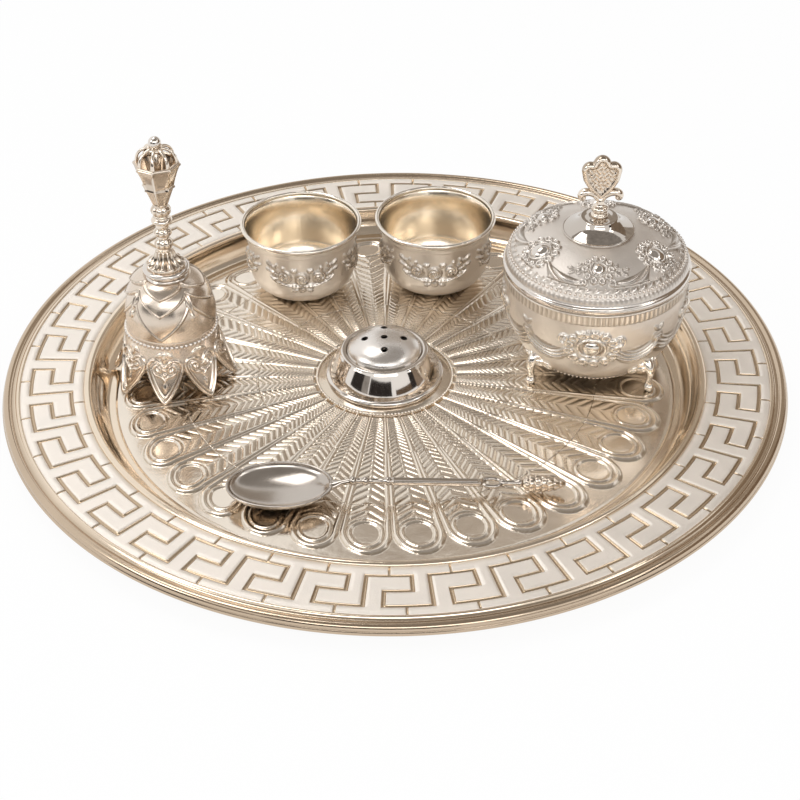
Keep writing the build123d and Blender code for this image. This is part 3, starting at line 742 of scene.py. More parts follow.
class Wires:
    """Short ways to lay nodes in a material."""

    def __init__(self, tree: Tree) -> None:
        """Keep the tree and its object coordinates."""
        self.tree = tree
        self.coords = laid(tree, "ShaderNodeTexCoord").outputs["Object"]

    def stretched(self, shares: Triple) -> Socket:
        """Object coordinates, each times its share."""
        return laid(self.tree, "ShaderNodeVectorMath", {0: self.coords, 1: shares}, operation="MULTIPLY").outputs[0]

    def noise(self, size: float, detail: float = 2.0, upright: float = 1.0) -> Socket:
        """Cloudy pattern with patches of a size in millimetres, drawn out upwards where upright is below 1."""
        inputs = {"Vector": self.stretched((1.0, 1.0, upright)), "Scale": 1.0 / (size * MM), "Detail": detail}
        return laid(self.tree, "ShaderNodeTexNoise", inputs).outputs["Fac"]

    def lines(self, size: float) -> Socket:
        """Uneven lines round the tray's axis.

        Args:
            size: Width of the lines in millimetres.

        Returns:
            The pattern's value.
        """
        flat = self.stretched((1.0, 1.0, 0.0))
        reach = laid(self.tree, "ShaderNodeVectorMath", {0: flat}, operation="LENGTH")
        inputs = {"W": reach.outputs["Value"], "Scale": 1.0 / (size * MM)}
        return laid(self.tree, "ShaderNodeTexNoise", inputs, noise_dimensions="1D").outputs["Fac"]

    def mark(self, name: str) -> Socket:
        """Value kept at the points of the mesh."""
        return laid(self.tree, "ShaderNodeAttribute", attribute_name=name).outputs["Fac"]

    def between(self, share: object, low: object, high: object) -> Socket:
        """Blend of two values or colours.

        Args:
            share: 0 for the first, 1 for the second.
            low: First value, or a colour.
            high: Second value, or a colour or its output.

        Returns:
            The blend.
        """
        color = isinstance(low, tuple)
        first, second, result = (6, 7, 2) if color else (2, 3, 0)
        low, high = ((*value, 1.0) if isinstance(value, tuple) else value for value in (low, high))
        inputs = {0: share, first: low, second: high}
        return laid(self.tree, "ShaderNodeMix", inputs, data_type="RGBA" if color else "FLOAT").outputs[result]

    def product(self, first: Socket, second: Socket) -> Socket:
        """Product of two values."""
        return laid(self.tree, "ShaderNodeMath", {0: first, 1: second}, operation="MULTIPLY").outputs[0]


@dataclass(frozen=True)
class Metal:
    """Plated metal with a matt ground, bright high places and a warm tone in its hollows; the same dark tone serves as
    painted shade on some parts.
    """

    name: str
    ground: Color
    # Tone of the hollows, and of the painted shade that some parts take
    deep: Color
    bright: Color
    ground_rough: float
    bright_rough: float
    grain: float = 0.5
    grain_depth: float = 0.01
    cloud: float = 0.05
    cloud_size: float = 14.0
    wave: float = 0.0
    wave_size: float = 5.0
    upright: float = 1.0
    smear: Pair = (0.85, 1.25)
    bright_grain: float = 0.25
    spun: bool = False
    marked: bool = True

    def material(self) -> bpy.types.Material:
        """Material of this finish, made once.

        Returns:
            The material.
        """
        found = bpy.data.materials.get(self.name)
        if found:
            return found
        made = bpy.data.materials.new(self.name)
        made.use_nodes = True
        tree = made.node_tree
        link = tree.links.new
        wires = Wires(tree)
        shader = tree.nodes["Principled BSDF"].inputs
        shader["Metallic"].default_value = 1.0
        cloud = wires.noise(self.cloud_size, 4.0)
        fine = wires.lines(self.grain) if self.spun else wires.noise(self.grain, 3.0, self.upright)
        polish = wires.mark("polish") if self.marked else 1.0
        color = wires.between(polish, self.ground, self.bright)
        if self.marked:
            color = wires.between(wires.mark("relief"), self.deep, color)
        shade = wires.between(cloud, 1.0 - 2.0 * self.cloud, 1.0 + self.cloud)
        tone = laid(tree, "ShaderNodeVectorMath", {0: color, "Scale": shade}, operation="SCALE")
        link(tone.outputs["Vector"], shader["Base Color"])
        rough = wires.between(polish, self.ground_rough, self.bright_rough)
        link(wires.product(rough, wires.between(cloud, *self.smear)), shader["Roughness"])
        strength = wires.between(polish, 1.0, self.bright_grain)
        grain = {"Distance": self.grain_depth * MM, "Strength": strength, "Height": fine}
        under = laid(tree, "ShaderNodeBump", grain).outputs["Normal"]
        dents = {"Distance": self.wave * MM, "Height": wires.noise(self.wave_size), "Normal": under}
        link(laid(tree, "ShaderNodeBump", dents).outputs["Normal"], shader["Normal"])
        return made


ENGRAVED = Metal(
    "engraved_champagne_silver", (0.87, 0.78, 0.67), (0.52, 0.41, 0.29), (0.89, 0.80, 0.69), 0.22, 0.14,
    grain=0.7, grain_depth=0.02, wave=0.07,
)
ROLLED = Metal(
    "rolled_champagne_silver", (0.85, 0.72, 0.57), (0.48, 0.36, 0.25), (0.86, 0.73, 0.58), 0.18, 0.13,
    grain=0.5, grain_depth=0.03, wave=0.05, spun=True,
)
KEYED = Metal(
    "frosted_key_panels", (0.96, 0.90, 0.83), (0.44, 0.33, 0.22), (0.72, 0.58, 0.42), 0.55, 0.22,
    grain=0.6, grain_depth=0.08, cloud=0.05,
)
SILVER = Metal(
    "bright_cast_silver", (0.83, 0.72, 0.61), (0.34, 0.25, 0.17), (0.85, 0.75, 0.64), 0.24, 0.12,
    grain=0.6, grain_depth=0.012, wave=0.04,
)
SATIN = Metal(
    "satin_spun_silver", (0.97, 0.91, 0.84), (0.40, 0.32, 0.24), (0.93, 0.86, 0.77), 0.38, 0.14,
    grain=0.8, grain_depth=0.03, cloud=0.10, wave=0.36, upright=0.12,
)
GILT = Metal(
    "golden_satin_inside", (0.97, 0.87, 0.73), (0.6, 0.5, 0.38), (0.95, 0.89, 0.80), 0.20, 0.27,
    grain=0.9, grain_depth=0.06, wave=0.06, upright=0.04,
)
FROSTED = Metal(
    "frosted_lid_silver", (0.80, 0.74, 0.68), (0.24, 0.19, 0.14), (0.78, 0.72, 0.66), 0.44, 0.10,
    grain=0.7, grain_depth=0.08, cloud=0.11, wave=0.14,
)
MIRROR = Metal(
    "mirror_silver", (0.80, 0.75, 0.70), (0.30, 0.25, 0.20), (0.76, 0.70, 0.64), 0.27, 0.07,
    grain=3.0, grain_depth=0.004, cloud=0.03, wave=0.02,
)
STEEL = Metal(
    "plain_inner_steel", (0.66, 0.63, 0.59), (0.5, 0.48, 0.45), (0.66, 0.63, 0.59), 0.32, 0.30,
    grain=0.5, grain_depth=0.01, marked=False,
)


# The tray


@dataclass
class Tray:
    """Round tray with a feather floor, a hollow wall, a key band and a rolled edge."""

    lanes: int = 32
    ridge_bearing: float = -90.0
    eye_at: float = 95.0
    eye_ring_r: float = 5.9
    barb_pitch: float = -0.9
    barb_growth: float = 0.068
    plate_stops: Row = (26.4, 50.0, 80.0, 107.6)
    plate_rows: tuple[int, ...] = (110, 92, 64)
    plate_cols: tuple[int, ...] = (26, 31, 44)
    ground_z: float = 0.78
    crest: float = 0.70
    plate_under: float = 0.3
    lip_r: float = 106.9
    lip_z: float = 0.66
    bead_ring_r: float = 26.4
    bead_r: float = 0.56
    bead_z: float = 1.4
    bead_count: int = 124
    shift_stops: Row = (27.0, 95.0, 107.0)
    shift_x: Row = (-4.0, -1.8, 0.0)
    shift_y: Row = (4.0, 3.4, 0.0)
    band_in: float = 119.2
    band_out: float = 143.2
    band_z: float = 9.5
    band_under: float = 8.5
    key_units: int = 37
    key_bearing: float = -94.8
    key_lines: Triple = (123.9, 131.5, 139.0)
    key_shares: Pair = (0.29, 0.72)
    tick_shares: Pair = (0.36, 0.62)
    key_w: float = 1.7
    key_depth: float = 0.6
    body: str = "tray"

    def build(self) -> None:
        """Build every piece of the tray."""
        middle = Place(self.shift_x[0], self.shift_y[0], self.bead_z)
        for piece in (
            self.shell(),
            *(self.shifted(self.plate(number)) for number in range(len(self.plate_rows))),
            beads("tray_bead_ring", self.bead_ring_r, self.bead_count, self.bead_r, SATIN, middle),
            self.seat(),
            self.band(),
        ):
            settle(piece, self.body, Slot.ENGRAVED, "thali_tray")

    def shell(self) -> Piece:
        """Turned sheet below and between the chased plates.

        Returns:
            The piece.
        """
        under = joined(
            [(0, 0), (60, 0), (110.5, 0)],
            arc((109.5, 9.2), 7.6, 9.6, -73.2, -14, 12),
            [(118.2, 7.7), (120, 7.9), (142, 7.9), (145.6, 7.4), (147.3, 6.2)],
        )
        edge = joined(
            arc((148.8, 6.7), 1.2, 1.2, -130, 52, 16),
            arc((147.9, 8.0), 1.7, 1.7, -10, 146, 20),
            [(146.1, 8.85), (145.6, 8.8), (145.0, 8.9)],
            arc((143.9, 9.35), 0.7, 0.3, 10, 170, 9),
            [(143.2, 9.3), (143.2, 8.75), (131, 8.75), (119.2, 8.75), (119.2, 9.4)],
            arc((117.7, 9.35), 1.5, 0.95, 5, 172, 15),
            arc((109.5, 9.2), 6.5, 8.4, -4, -90, 26),
            [(108.4, 0.8), (107.3, 0.8), (107.2, 0.72), (107.2, 0.4)],
            [(60, 0.4), (20.0, 0.4), (0, 0.4)],
        )
        # The rolled edge takes painted shade.
        return solid("tray_shell", [turned(joined(under, edge), full_turn(384), self.painted_edge_shade)], ROLLED)

    def painted_edge_shade(self, spot: Spot) -> Raised:
        """Painted shade: the metal's colour darkens towards the rolled edge."""
        dark = smooth(spot.radius, 143.4, 146.4) + 0.0 * spot.angle
        return 0.0 * dark, {"relief": 1.0 - 0.7 * dark, "polish": 1.0 - 0.3 * dark}

    def seat(self) -> Piece:
        """Plain round in the middle of the feathers, where the incense holder stands.

        Returns:
            The piece.
        """
        outer = joined([(0.0, 0.3), (26.6, 0.3), (26.6, 0.8), (25.9, 0.95), (23.4, 0.95), (22.6, 1.5), (0.0, 1.5)])
        # The darker tone all over the seat is painted shade about the incense holder's foot.
        patch = turned(outer, full_turn(160)).toned(0.6, 0.8)
        return solid("tray_seat", [patch], ENGRAVED, Place(self.shift_x[0], self.shift_y[0]))

    def shifted(self, piece: Piece) -> Piece:
        """Draw the feathers' middle a little to the back and the left, with the floor's border in its place.

        Args:
            piece: A ring of the floor.

        Returns:
            The same piece.
        """
        spots = np.zeros(3 * len(piece.data.vertices))
        piece.data.vertices.foreach_get("co", spots)
        spots = spots.reshape(-1, 3)
        reach = np.hypot(spots[:, 0], spots[:, 1]) / MM
        spots[:, 0] += np.interp(reach, self.shift_stops, self.shift_x) * MM
        spots[:, 1] += np.interp(reach, self.shift_stops, self.shift_y) * MM
        piece.data.vertices.foreach_set("co", spots.ravel())
        piece.data.update()
        return piece

    def backed(self, radius: Array, height: Array, angle: Array, marks: Marks, under: float) -> Patch:
        """Chased part of a ring with a flat underside.

        Args:
            radius: Radius of each row, from the outside inwards.
            height: Height of each point.
            angle: Angle of each column, in radians.
            marks: Marks of each point.
            under: Height of the underside.

        Returns:
            The part.
        """
        flat = np.full((2, height.shape[1]), under)
        radius = np.concatenate([radius, radius[[-1, 0]]])
        return walled(radius, np.concatenate([height, flat]), angle, marks, len(height))

    def plate(self, number: int) -> Piece:
        """One ring of the chased floor.

        Args:
            number: 0 for the ring next to the middle.

        Returns:
            The ring.
        """
        low, high = self.plate_stops[number : number + 2]
        half = 180.0 / self.lanes
        radius = np.geomspace(high, low, self.plate_rows[number])[:, None]
        angle = spread(half, self.plate_cols[number])
        height, relief, polish = self.lane(radius * np.cos(angle), radius * np.sin(angle))
        height = np.where(radius > self.lip_r, np.minimum(height, self.lip_z), height)
        if number:
            coarse = spread(half, self.plate_cols[number - 1])
            seam = self.lane(low * np.cos(coarse), low * np.sin(coarse))[0]
            height[-1] = np.interp(angle, coarse, seam)
        patch = self.backed(radius, height, angle, {"relief": relief, "polish": polish}, self.plate_under)
        name = "tray_floor_" + ("inner", "middle", "outer")[number]
        return round_copies(name, [patch], self.lanes, ENGRAVED, Place(turn=self.ridge_bearing + half))

    def lane(self, x: Array, y: Array) -> tuple[Array, Array, Array]:
        """Relief of one feather with its eye, along the lane's middle line.

        Args:
            x: Distance along the lane from the tray's middle.
            y: Distance aside.

        Returns:
            Height, relief mark and polish mark.
        """
        half = np.radians(180.0 / self.lanes)
        leg = x * np.tan(half) - 0.15 - 0.7 * smooth(x, 34.0, 76.0) - 0.5 * smooth(x, 76.0, self.eye_at)
        turn_r = self.eye_at * np.tan(half) - 1.35
        from_eye = np.hypot(x - self.eye_at, y)
        aside = np.where(x <= self.eye_at, np.abs(y) - leg, from_eye - turn_r)
        rib_half = 0.32 + 0.42 * smooth(x, 30.0, 72.0) + 0.36 * smooth(x, 76.0, 92.0)
        rib = swell(aside, rib_half)
        ring = swell(from_eye - self.eye_ring_r, 0.75)
        disc = smooth(self.eye_ring_r - from_eye, 0.4, 1.2)
        inside = -aside - rib_half
        clear = smooth(inside, -0.05, 0.35) * smooth(from_eye, self.eye_ring_r + 0.6, self.eye_ring_r + 1.6)
        clear = clear * smooth(x, 27.2, 28.2)
        spine = swell(y, 0.22 + 0.2 * smooth(x, 30.0, 80.0)) * clear
        lap = np.log(self.barb_pitch + self.barb_growth * (x - 0.8 * np.abs(y))) / self.barb_growth
        saw = lap - np.floor(lap)
        barb = unit(1.55 * saw**0.7 * (1.0 - saw) ** 0.3) * clear * smooth(np.abs(y), 0.1, 0.5)
        crown = 0.14 * clear * (1.0 - unit(np.abs(y) / highest(leg, 0.5)))
        raised = highest(rib, 0.85 * ring, 0.7 * spine, 0.66 * barb + crown)
        height = self.ground_z + self.crest * highest(raised, 0.18 * disc)
        plain = smooth(aside, rib_half, rib_half + 0.6)
        relief = unit(0.15 + 1.25 * raised + 0.8 * highest(disc, plain))
        polish = unit(0.45 + 0.55 * highest(rib, ring, disc, plain))
        return height, relief, polish

    def band(self) -> Piece:
        """Flat band with a sunken key pattern.

        Returns:
            The piece.
        """
        step = TAU / self.key_units
        length = step * 0.5 * (self.band_in + self.band_out)
        half_share = 0.5 * self.key_w / length
        bars = (0.0, *self.key_shares, *self.tick_shares, 1.0)
        cuts = np.array([-1.0, -0.72, -0.36, 0.0, 0.36, 0.72, 1.0])
        shares = np.concatenate([bar + half_share * cuts for bar in bars] + [np.linspace(0.0, 1.0, 13)])
        shares = np.unique(np.round(shares[(shares >= 0.0) & (shares <= 1.0)], 4))
        rings = [line + 0.5 * self.key_w * cuts for line in self.key_lines]
        plain = np.linspace(self.band_in, self.band_out, 13)
        lip = [self.band_in + 0.25, self.band_out - 0.25]
        radius = np.unique(np.round(np.concatenate([*rings, plain, lip]), 3))[::-1][:, None]
        depth = self.channel(shares[None, :] * length, radius, length)
        edge = smooth(np.minimum(radius - self.band_in, self.band_out - radius), 0.0, 0.3)
        height = self.band_z - self.key_depth * depth - 0.35 * (1.0 - edge)
        sunk = smooth(depth, 0.05, 0.5)
        marks = {"relief": 1.0 - 0.6 * sunk, "polish": sunk}
        patch = self.backed(radius, height, shares * step, marks, self.band_under)
        return round_copies("tray_key_band", [patch], self.key_units, KEYED, Place(turn=self.key_bearing))

    def channel(self, x: Array, radius: Array, length: float) -> Array:
        """Depth share of the key's channel.

        Args:
            x: Distance along one unit of the band.
            radius: Distance from the tray's middle.
            length: Length of one unit.

        Returns:
            1 at the bottom of the channel, 0 on the panels.
        """
        near, mid, far = self.key_lines
        back, fore = (share * length for share in self.key_shares)
        tick_in, tick_out = (share * length for share in self.tick_shares)
        runs = (
            ((0.0, near), (fore, near), 1.0), ((fore, near), (fore, mid), 1.0),
            ((fore, mid), (back, mid), 1.0), ((back, mid), (back, far), 1.0),
            ((back, far), (length, far), 1.0), ((length, far), (length, near), 1.0), ((0.0, far), (0.0, near), 1.0),
            ((tick_in, self.band_in - 1.0), (tick_in, near), 0.7),
            ((tick_out, far), (tick_out, self.band_out + 1.0), 0.7),
        )
        depth = np.zeros(np.broadcast(x, radius).shape)
        for start, end, share in runs:
            out_x = highest(np.minimum(start[0], end[0]) - x, x - highest(start[0], end[0]))
            out_r = highest(np.minimum(start[1], end[1]) - radius, radius - highest(start[1], end[1]))
            gap = highest(out_x, out_r, 0.0)
            cut = 1.0 - smooth(gap, 0.25 * self.key_w * share, 0.5 * self.key_w * share)
            depth = highest(depth, share * cut)
        return depth


# The incense holder


@dataclass
class IncenseHolder:
    """Spun cone with a rolled flange, and the pierced dome on it."""

    place: Place = Place(-4.0, 4.0, FLOOR_TOP)
    flange_r: float = 22.9
    roll_r: float = 1.1
    shoulder_r: float = 16.8
    shoulder_z: float = 12.2
    dome_r: float = 14.1
    dome_seat: float = 12.5
    dome_rise: float = 5.2
    hole_r: float = 1.35
    hole_ring_r: float = 7.5
    hole_sides: int = 28
    edge_sides: int = 140
    wall: float = 1.4
    body: str = "incense_holder"

    def build(self) -> None:
        """Build the cone and its dome."""
        settle(self.cone(), self.body, Slot.POLISHED, "incense_base")
        settle(self.dome(), self.body, Slot.SATIN, "incense_dome")

    def cone(self) -> Piece:
        """Mirror cone from the flange to the flat shoulder.

        Returns:
            The piece.
        """
        roll = self.flange_r - self.roll_r
        outer = joined(
            [(roll - 1.6, 0.0), (roll - 0.4, 0.0)],
            arc((roll, self.roll_r), self.roll_r, self.roll_r, -90, 100, 18),
            bend([(roll - 0.25, 2.3), (20.9, 5.0), (19.2, 8.2), (17.2, self.shoulder_z - 0.7)], 16),
            arc((self.shoulder_r - 0.45, self.shoulder_z - 0.5), 0.55, 0.5, 10, 90, 7),
            [(15.2, self.shoulder_z), (14.9, self.shoulder_z - 0.1), (14.6, self.shoulder_z - 0.7)],
            [(14.3, self.shoulder_z - 0.7), (14.1, self.dome_seat), (13.4, self.dome_seat), (11.6, self.dome_seat)],
        )

        def groove(spot: Spot) -> Raised:
            """Painted shade: dark line in the groove round the dome."""
            dark = swell(spot.radius - 14.5, 0.55) * (spot.height < self.shoulder_z - 0.05) + 0.0 * spot.angle
            return 0.0 * dark, {"relief": 1.0 - 0.9 * dark * (spot.height > self.shoulder_z - 1.0)}

        inner = joined([(11.6, 8.1), (15.2, 8.1), (19.0, 1.2)])
        return solid("incense_cone", [turned(outer, full_turn(160), groove, inner)], MIRROR, self.place)

    def dome(self) -> Piece:
        """Satin dome whose five holes are real openings.

        Returns:
            The dome.
        """
        flat: list[Pair] = []
        for hole in self.holes:
            for share, turn in ((1.0, 0.0), (1.12, 0.5 * TAU / self.hole_sides), (1.4, 0.0)):
                flat += round_spots(self.hole_r * share, self.hole_sides, hole, turn)
        for ring_r in [*np.linspace(1.0, 12.5, 14), 13.1, 13.6, 13.9]:
            count = self.edge_sides if ring_r > 12.6 else max(int(TAU * ring_r / 0.9), 8)
            flat += [spot for spot in round_spots(ring_r, count) if self.from_hole(*spot) > 1.75 * self.hole_r]
        return self.pierced(flat + round_spots(self.dome_r, self.edge_sides))

    @property
    def holes(self) -> list[Pair]:
        """Middles of the five holes."""
        return [(0.0, 0.0), *round_spots(self.hole_ring_r, 4)]

    def from_hole(self, x: float, y: float) -> float:
        """Distance from the nearest hole's middle."""
        return min(np.hypot(x - hole[0], y - hole[1]) for hole in self.holes)

    def pierced(self, flat: list[Pair]) -> Piece:
        """Join flat spots into a domed sheet with holes and give it its wall.

        Args:
            flat: Spots seen from above.

        Returns:
            The dome.
        """
        work = bmesh.new()
        spots, _, faces, *_ = delaunay_2d_cdt([Vector(spot) for spot in flat], [], [], 0, 1e-6)
        seat = self.dome_seat

        def lifted(x: float, y: float, inset: float) -> Triple:
            """Spot on the dome, or on its inside.

            Args:
                x: First coordinate.
                y: Second coordinate.
                inset: How far inside the dome it lies.

            Returns:
                The spot, with its height.
            """
            share = min(np.hypot(x, y) / (self.dome_r - inset), 1.0)
            rise = (self.dome_rise - inset) * (1.0 - share**2.5) ** 0.62
            return x, y, float(seat + rise)

        outer = [work.verts.new(lifted(spot.x, spot.y, 0.0)) for spot in spots]
        inner_share = (self.dome_r - self.wall) / self.dome_r
        inner = []
        for spot in spots:
            out = spot.length
            share = 1.0 if out < 10.0 else 1.0 + (inner_share - 1.0) * (out - 10.0) / (self.dome_r - 10.0)
            inner.append(work.verts.new(lifted(spot.x * share, spot.y * share, self.wall)))
        border: set[tuple[int, int]] = set()
        for face in faces:
            middle = sum((spots[k] for k in face), Vector((0.0, 0.0))) / len(face)
            if self.from_hole(middle.x, middle.y) < 0.97 * self.hole_r:
                continue
            work.faces.new([outer[k] for k in face])
            work.faces.new([inner[k] for k in reversed(face)])
            border.update(zip(face, (*face[1:], face[0])))
        for a, b in sorted(border):
            if (b, a) not in border:
                work.faces.new([outer[b], outer[a], inner[a], inner[b]])
        bmesh.ops.recalc_face_normals(work, faces=work.faces)
        mesh = bpy.data.meshes.new("incense_dome_sheet")
        for face in work.faces:
            face.smooth = True
        loose = [vert for vert in work.verts if not vert.link_faces]
        bmesh.ops.delete(work, geom=loose, context="VERTS")
        work.to_mesh(mesh)
        work.free()
        spots_3d = np.array([vert.co for vert in mesh.vertices])
        mesh.vertices.foreach_set("co", self.place.apply(spots_3d).ravel())
        for mark, value in zip(MARKS, (1.0, 0.0)):
            write_mark(mesh, mark, np.full(len(mesh.vertices), value))
        mesh.set_sharp_from_angle(angle=np.radians(50.0))
        mesh.materials.append(MIRROR.material())
        return shown("incense_pierced_dome", mesh)


# The bell


@dataclass
class Bell:
    """Hand bell that stands on a skirt of heart petals."""

    place: Place = Place(-85.979, 9.037, FLOOR_TOP, -95.0)
    petals: int = 8
    skirt_r: float = 24.2
    skirt_h: float = 21.0
    gap_h: float = 12.5
    cup_r: float = 17.0
    bead_r: float = 0.95
    bead_z: float = 21.9
    bead_count: int = 60
    wall: float = 1.4
    knee_z: float = 27.2
    cup_top: float = 42.8
    crown_r: float = 7.5
    lotus: int = 4
    lotus_turn: float = -2.0
    lotus_lengths: Row = (6.4, 12.4, 22.4)
    lotus_halves: Row = (8.0, 10.6, 12.6)
    collar_z: float = 48.4
    stem_z: float = 55.4
    crown_z: float = 75.3
    cage_z: float = 91.9
    cap_z: float = 98.8
    sides: int = 8
    body: str = "bell"

    def build(self) -> None:
        """Build the bell from its petals up to the ball on top."""
        for piece, node in (
            (self.skirt(), "bell_petal_skirt"),
            (self.cup(), "bell_cup"),
            (self.bead_ring(), "bell_bead_ring"),
            (self.disc(), "bell_shoulder_ring"),
            (self.collar(), "bell_handle_collar"),
            (self.stem(), "bell_handle_stem"),
            (self.crown(), "bell_crown_cup"),
            (self.cage_ribs(), "bell_crown_cage"),
            (self.cage_ends(), "bell_crown_cage"),
            (self.top_ball(), "bell_handle_ball"),
        ):
            settle(piece, self.body, Slot.POLISHED, node)

    def skirt_radius(self, z: Array) -> Array:
        """Radius of the flared skirt at a height."""
        share = z / self.skirt_h
        return self.skirt_r + (self.cup_r - self.skirt_r) * share - 3.0 * share * (1.0 - share)

    def skirt(self) -> Piece:
        """Skirt of heart petals with chased scrolls.

        Returns:
            The piece.
        """
        half = np.pi / self.petals
        share = np.sin(np.linspace(-1.0, 1.0, 61) * np.pi / 2)[None, :]
        low = self.gap_h * np.abs(share) ** 1.35
        rise = np.linspace(0.0, 1.0, 72)[:, None] ** 1.1
        z = low + rise * (self.skirt_h - low)
        radius = self.skirt_radius(z)
        angle = share * half
        lift, relief, polish = self.petal(radius * angle, z)
        outer_r, outer_z = radius + 0.95 * lift, z + 0.3 * lift
        back = np.linspace(1.0, 0.0, 8)[:, None] ** 1.1
        inner_z = low + back * (self.skirt_h - low)
        inner_r = self.skirt_radius(inner_z) - self.wall
        radius, z = np.concatenate([outer_r, inner_r]), np.concatenate([outer_z, inner_z])
        patch = walled(radius, z, angle, {"relief": relief, "polish": polish}, len(rise), 0.5)
        return round_copies("bell_heart_skirt", [patch], self.petals, SILVER, self.place)

    def petal(self, x: Array, z: Array) -> tuple[Array, Array, Array]:
        """Relief of one heart petal.

        Args:
            x: Distance aside of the petal's middle.
            z: Height above its tip.

        Returns:
            Lift, relief mark and polish mark.
        """
        share = np.linspace(0.0, 0.93, 30)
        edge_z = self.gap_h * share**1.35
        edge = grid(self.skirt_radius(edge_z) * share * np.pi / self.petals, edge_z + 0.2)
        lobe = arc((3.75, 13.2), 3.6, 3.9, -12, 150, 22)
        heart = joined(edge, lobe, [(0.0, 14.6)])
        side = np.abs(x)
        _, aside = ribbon(side, z, heart)
        rim = swell(aside - 0.6, 0.55)
        line = swell(aside - 1.75, 0.34)
        inside = smooth(aside, 1.0, 1.3)
        stalk = bend([(2.7, 10.7), (1.2, 10.6), (0.2, 9.6), (0.0, 8.0)], 14)
        scroll = highest(strand(side, z, coil((2.7, 13.0), 2.3, 1.3, 1, 270.0), 0.46), strand(side, z, stalk, 0.42))
        drop = highest(leaf(x, z, (0.0, 8.6), (0.0, 4.4), 0.95), ball(np.hypot(x, z - 10.9), 0.6))
        root = (0.0, 19.4)
        top = leaves(x, z, ((0.0, 19.8), (0.0, 15.6), 1.0), (root, (-3.2, 17.9), 0.8), (root, (3.2, 17.9), 0.8))
        chased = highest(highest(scroll, drop) * inside, top * smooth(-aside, 0.1, 0.5))
        lift = 0.8 * rim + 0.5 * line + 0.75 * chased - 0.3 * inside
        high = highest(rim, 0.8 * line, chased)
        relief = unit(0.60 + 0.6 * high + 0.4 * smooth(-aside, 0.2, 0.8))
        return lift, relief, 0.15 + 0.85 * high

    def cup(self) -> Piece:
        """Sounding cup with nested lotus petals.

        Returns:
            The piece.
        """
        crown = (self.crown_r, self.knee_z)
        wide, tall = self.cup_r - self.crown_r, self.cup_top - self.knee_z
        outer = joined([(self.cup_r, self.skirt_h), (self.cup_r, self.knee_z)], arc(crown, wide, tall, 0, 90, 60))
        outer = even(outer, 112)
        inner = joined(
            [(1.5, self.cup_top), (1.5, self.cup_top - self.wall)],
            arc(crown, wide - self.wall, tall - self.wall, 90, 0, 16),
            [(self.cup_r - self.wall, self.skirt_h)],
        )
        patch = turned(outer, spread(180.0 / self.lotus, 89), self.lotus_relief, inner, 0.4)
        return round_copies("bell_lotus_cup", [patch], self.lotus, SILVER, self.place.moved(turn=self.lotus_turn))

    def bead_ring(self) -> Piece:
        """Beaded wire round the foot of the cup."""
        place = self.place.moved(self.bead_z)
        return beads("bell_cup_beads", self.cup_r + 0.3, self.bead_count, self.bead_r, MIRROR, place)

    def lotus_relief(self, spot: Spot) -> Raised:
        """Relief of one lotus petal in its quarter of the cup.

        Args:
            spot: Places on the cup.

        Returns:
            Lift and marks.
        """
        fall = spot.along[-1, 0] - spot.along
        x = spot.across
        lift, line, dark = np.zeros((3, *x.shape))
        for length, half, step in zip(self.lotus_lengths, self.lotus_halves, (1.1, 0.9, 0.25)):
            share = unit(fall / length)
            width = half * (1.0 - share**2.7) ** 0.95 * (0.80 + 0.20 * np.sin(np.pi * share))
            inside = width - np.abs(x) - highest(fall - length, 0.0)
            lift = lift + step * smooth(inside, -0.1, 0.4)
            line = highest(line, swell(inside - 0.45, 0.5))
            dark = highest(dark, swell(inside + 0.3, 0.45), 0.6 * swell(inside - 1.2, 0.4))
        seam = spot.radius * (np.abs(spot.angle) - np.pi / self.lotus)
        blade = leaves(seam, fall, ((0.0, 2.0), (0.0, 12.5), 1.5), ((0.0, 12.2), (0.0, 15.8), 0.8))
        lift = highest(lift + 0.42 * line, 1.3 * blade)
        lift = lift * smooth(fall, 0.0, 1.0) * smooth(spot.along, 0.4, 1.2)
        relief = unit(0.9 - 0.75 * dark + 0.6 * highest(line, blade))
        hem = swell(spot.along - 2.4, 0.35)
        return lift + 0.15 * hem, {"relief": relief, "polish": unit(0.15 + 0.7 * line)}

    def disc(self) -> Piece:
        """Polished disc between the cup and the handle.

        Returns:
            The piece.
        """
        low, high = self.cup_top, self.collar_z
        outer = joined(
            [(1.5, low), (7.0, low)],
            arc((7.5, low + 0.9), 0.8, 0.9, -80, 60, 9),
            [(7.3, low + 1.9), (7.2, low + 2.6)],
            arc((7.75, high - 1.2), 1.15, 1.2, -75, 90, 13),
            [(6.4, high), (1.5, high)],
        )
        return solid("bell_polished_disc", [turned(outer, full_turn(96))], MIRROR, self.place)

    def collar(self) -> Piece:
        """Leafy collar with twelve hollow flutes.

        Returns:
            The piece.
        """
        low, high = self.collar_z, self.stem_z
        outer = even(joined(
            [(1.5, low), (6.9, low), (7.25, low + 0.5), (7.2, low + 1.2)],
            bend([(7.0, low + 1.4), (5.0, low + 2.3), (3.5, low + 3.6), (3.0, high)], 24),
            [(1.5, high)],
        ), 54)

        def flutes(spot: Spot) -> Raised:
            """Leaves between hollows, deepest on the slope.

            Args:
                spot: Places on the collar.

            Returns:
                Lift and marks.
            """
            wave = np.cos(12.0 * spot.angle)
            slope = smooth(spot.height, low + 0.9, low + 2.0) * (1.0 - smooth(spot.height, high - 0.8, high))
            lobe = 0.42 * slope * np.abs(wave) ** 0.7 * np.sign(wave)
            skirt = 0.3 * swell(spot.height - low - 0.8, 0.9) * np.abs(np.cos(6.0 * spot.angle))
            return lobe + skirt, {"relief": unit(0.55 + 0.45 * wave * slope + 0.3 * (1.0 - slope))}

        return solid("bell_leaf_collar", [turned(outer, full_turn(144), flutes)], SILVER, self.place)

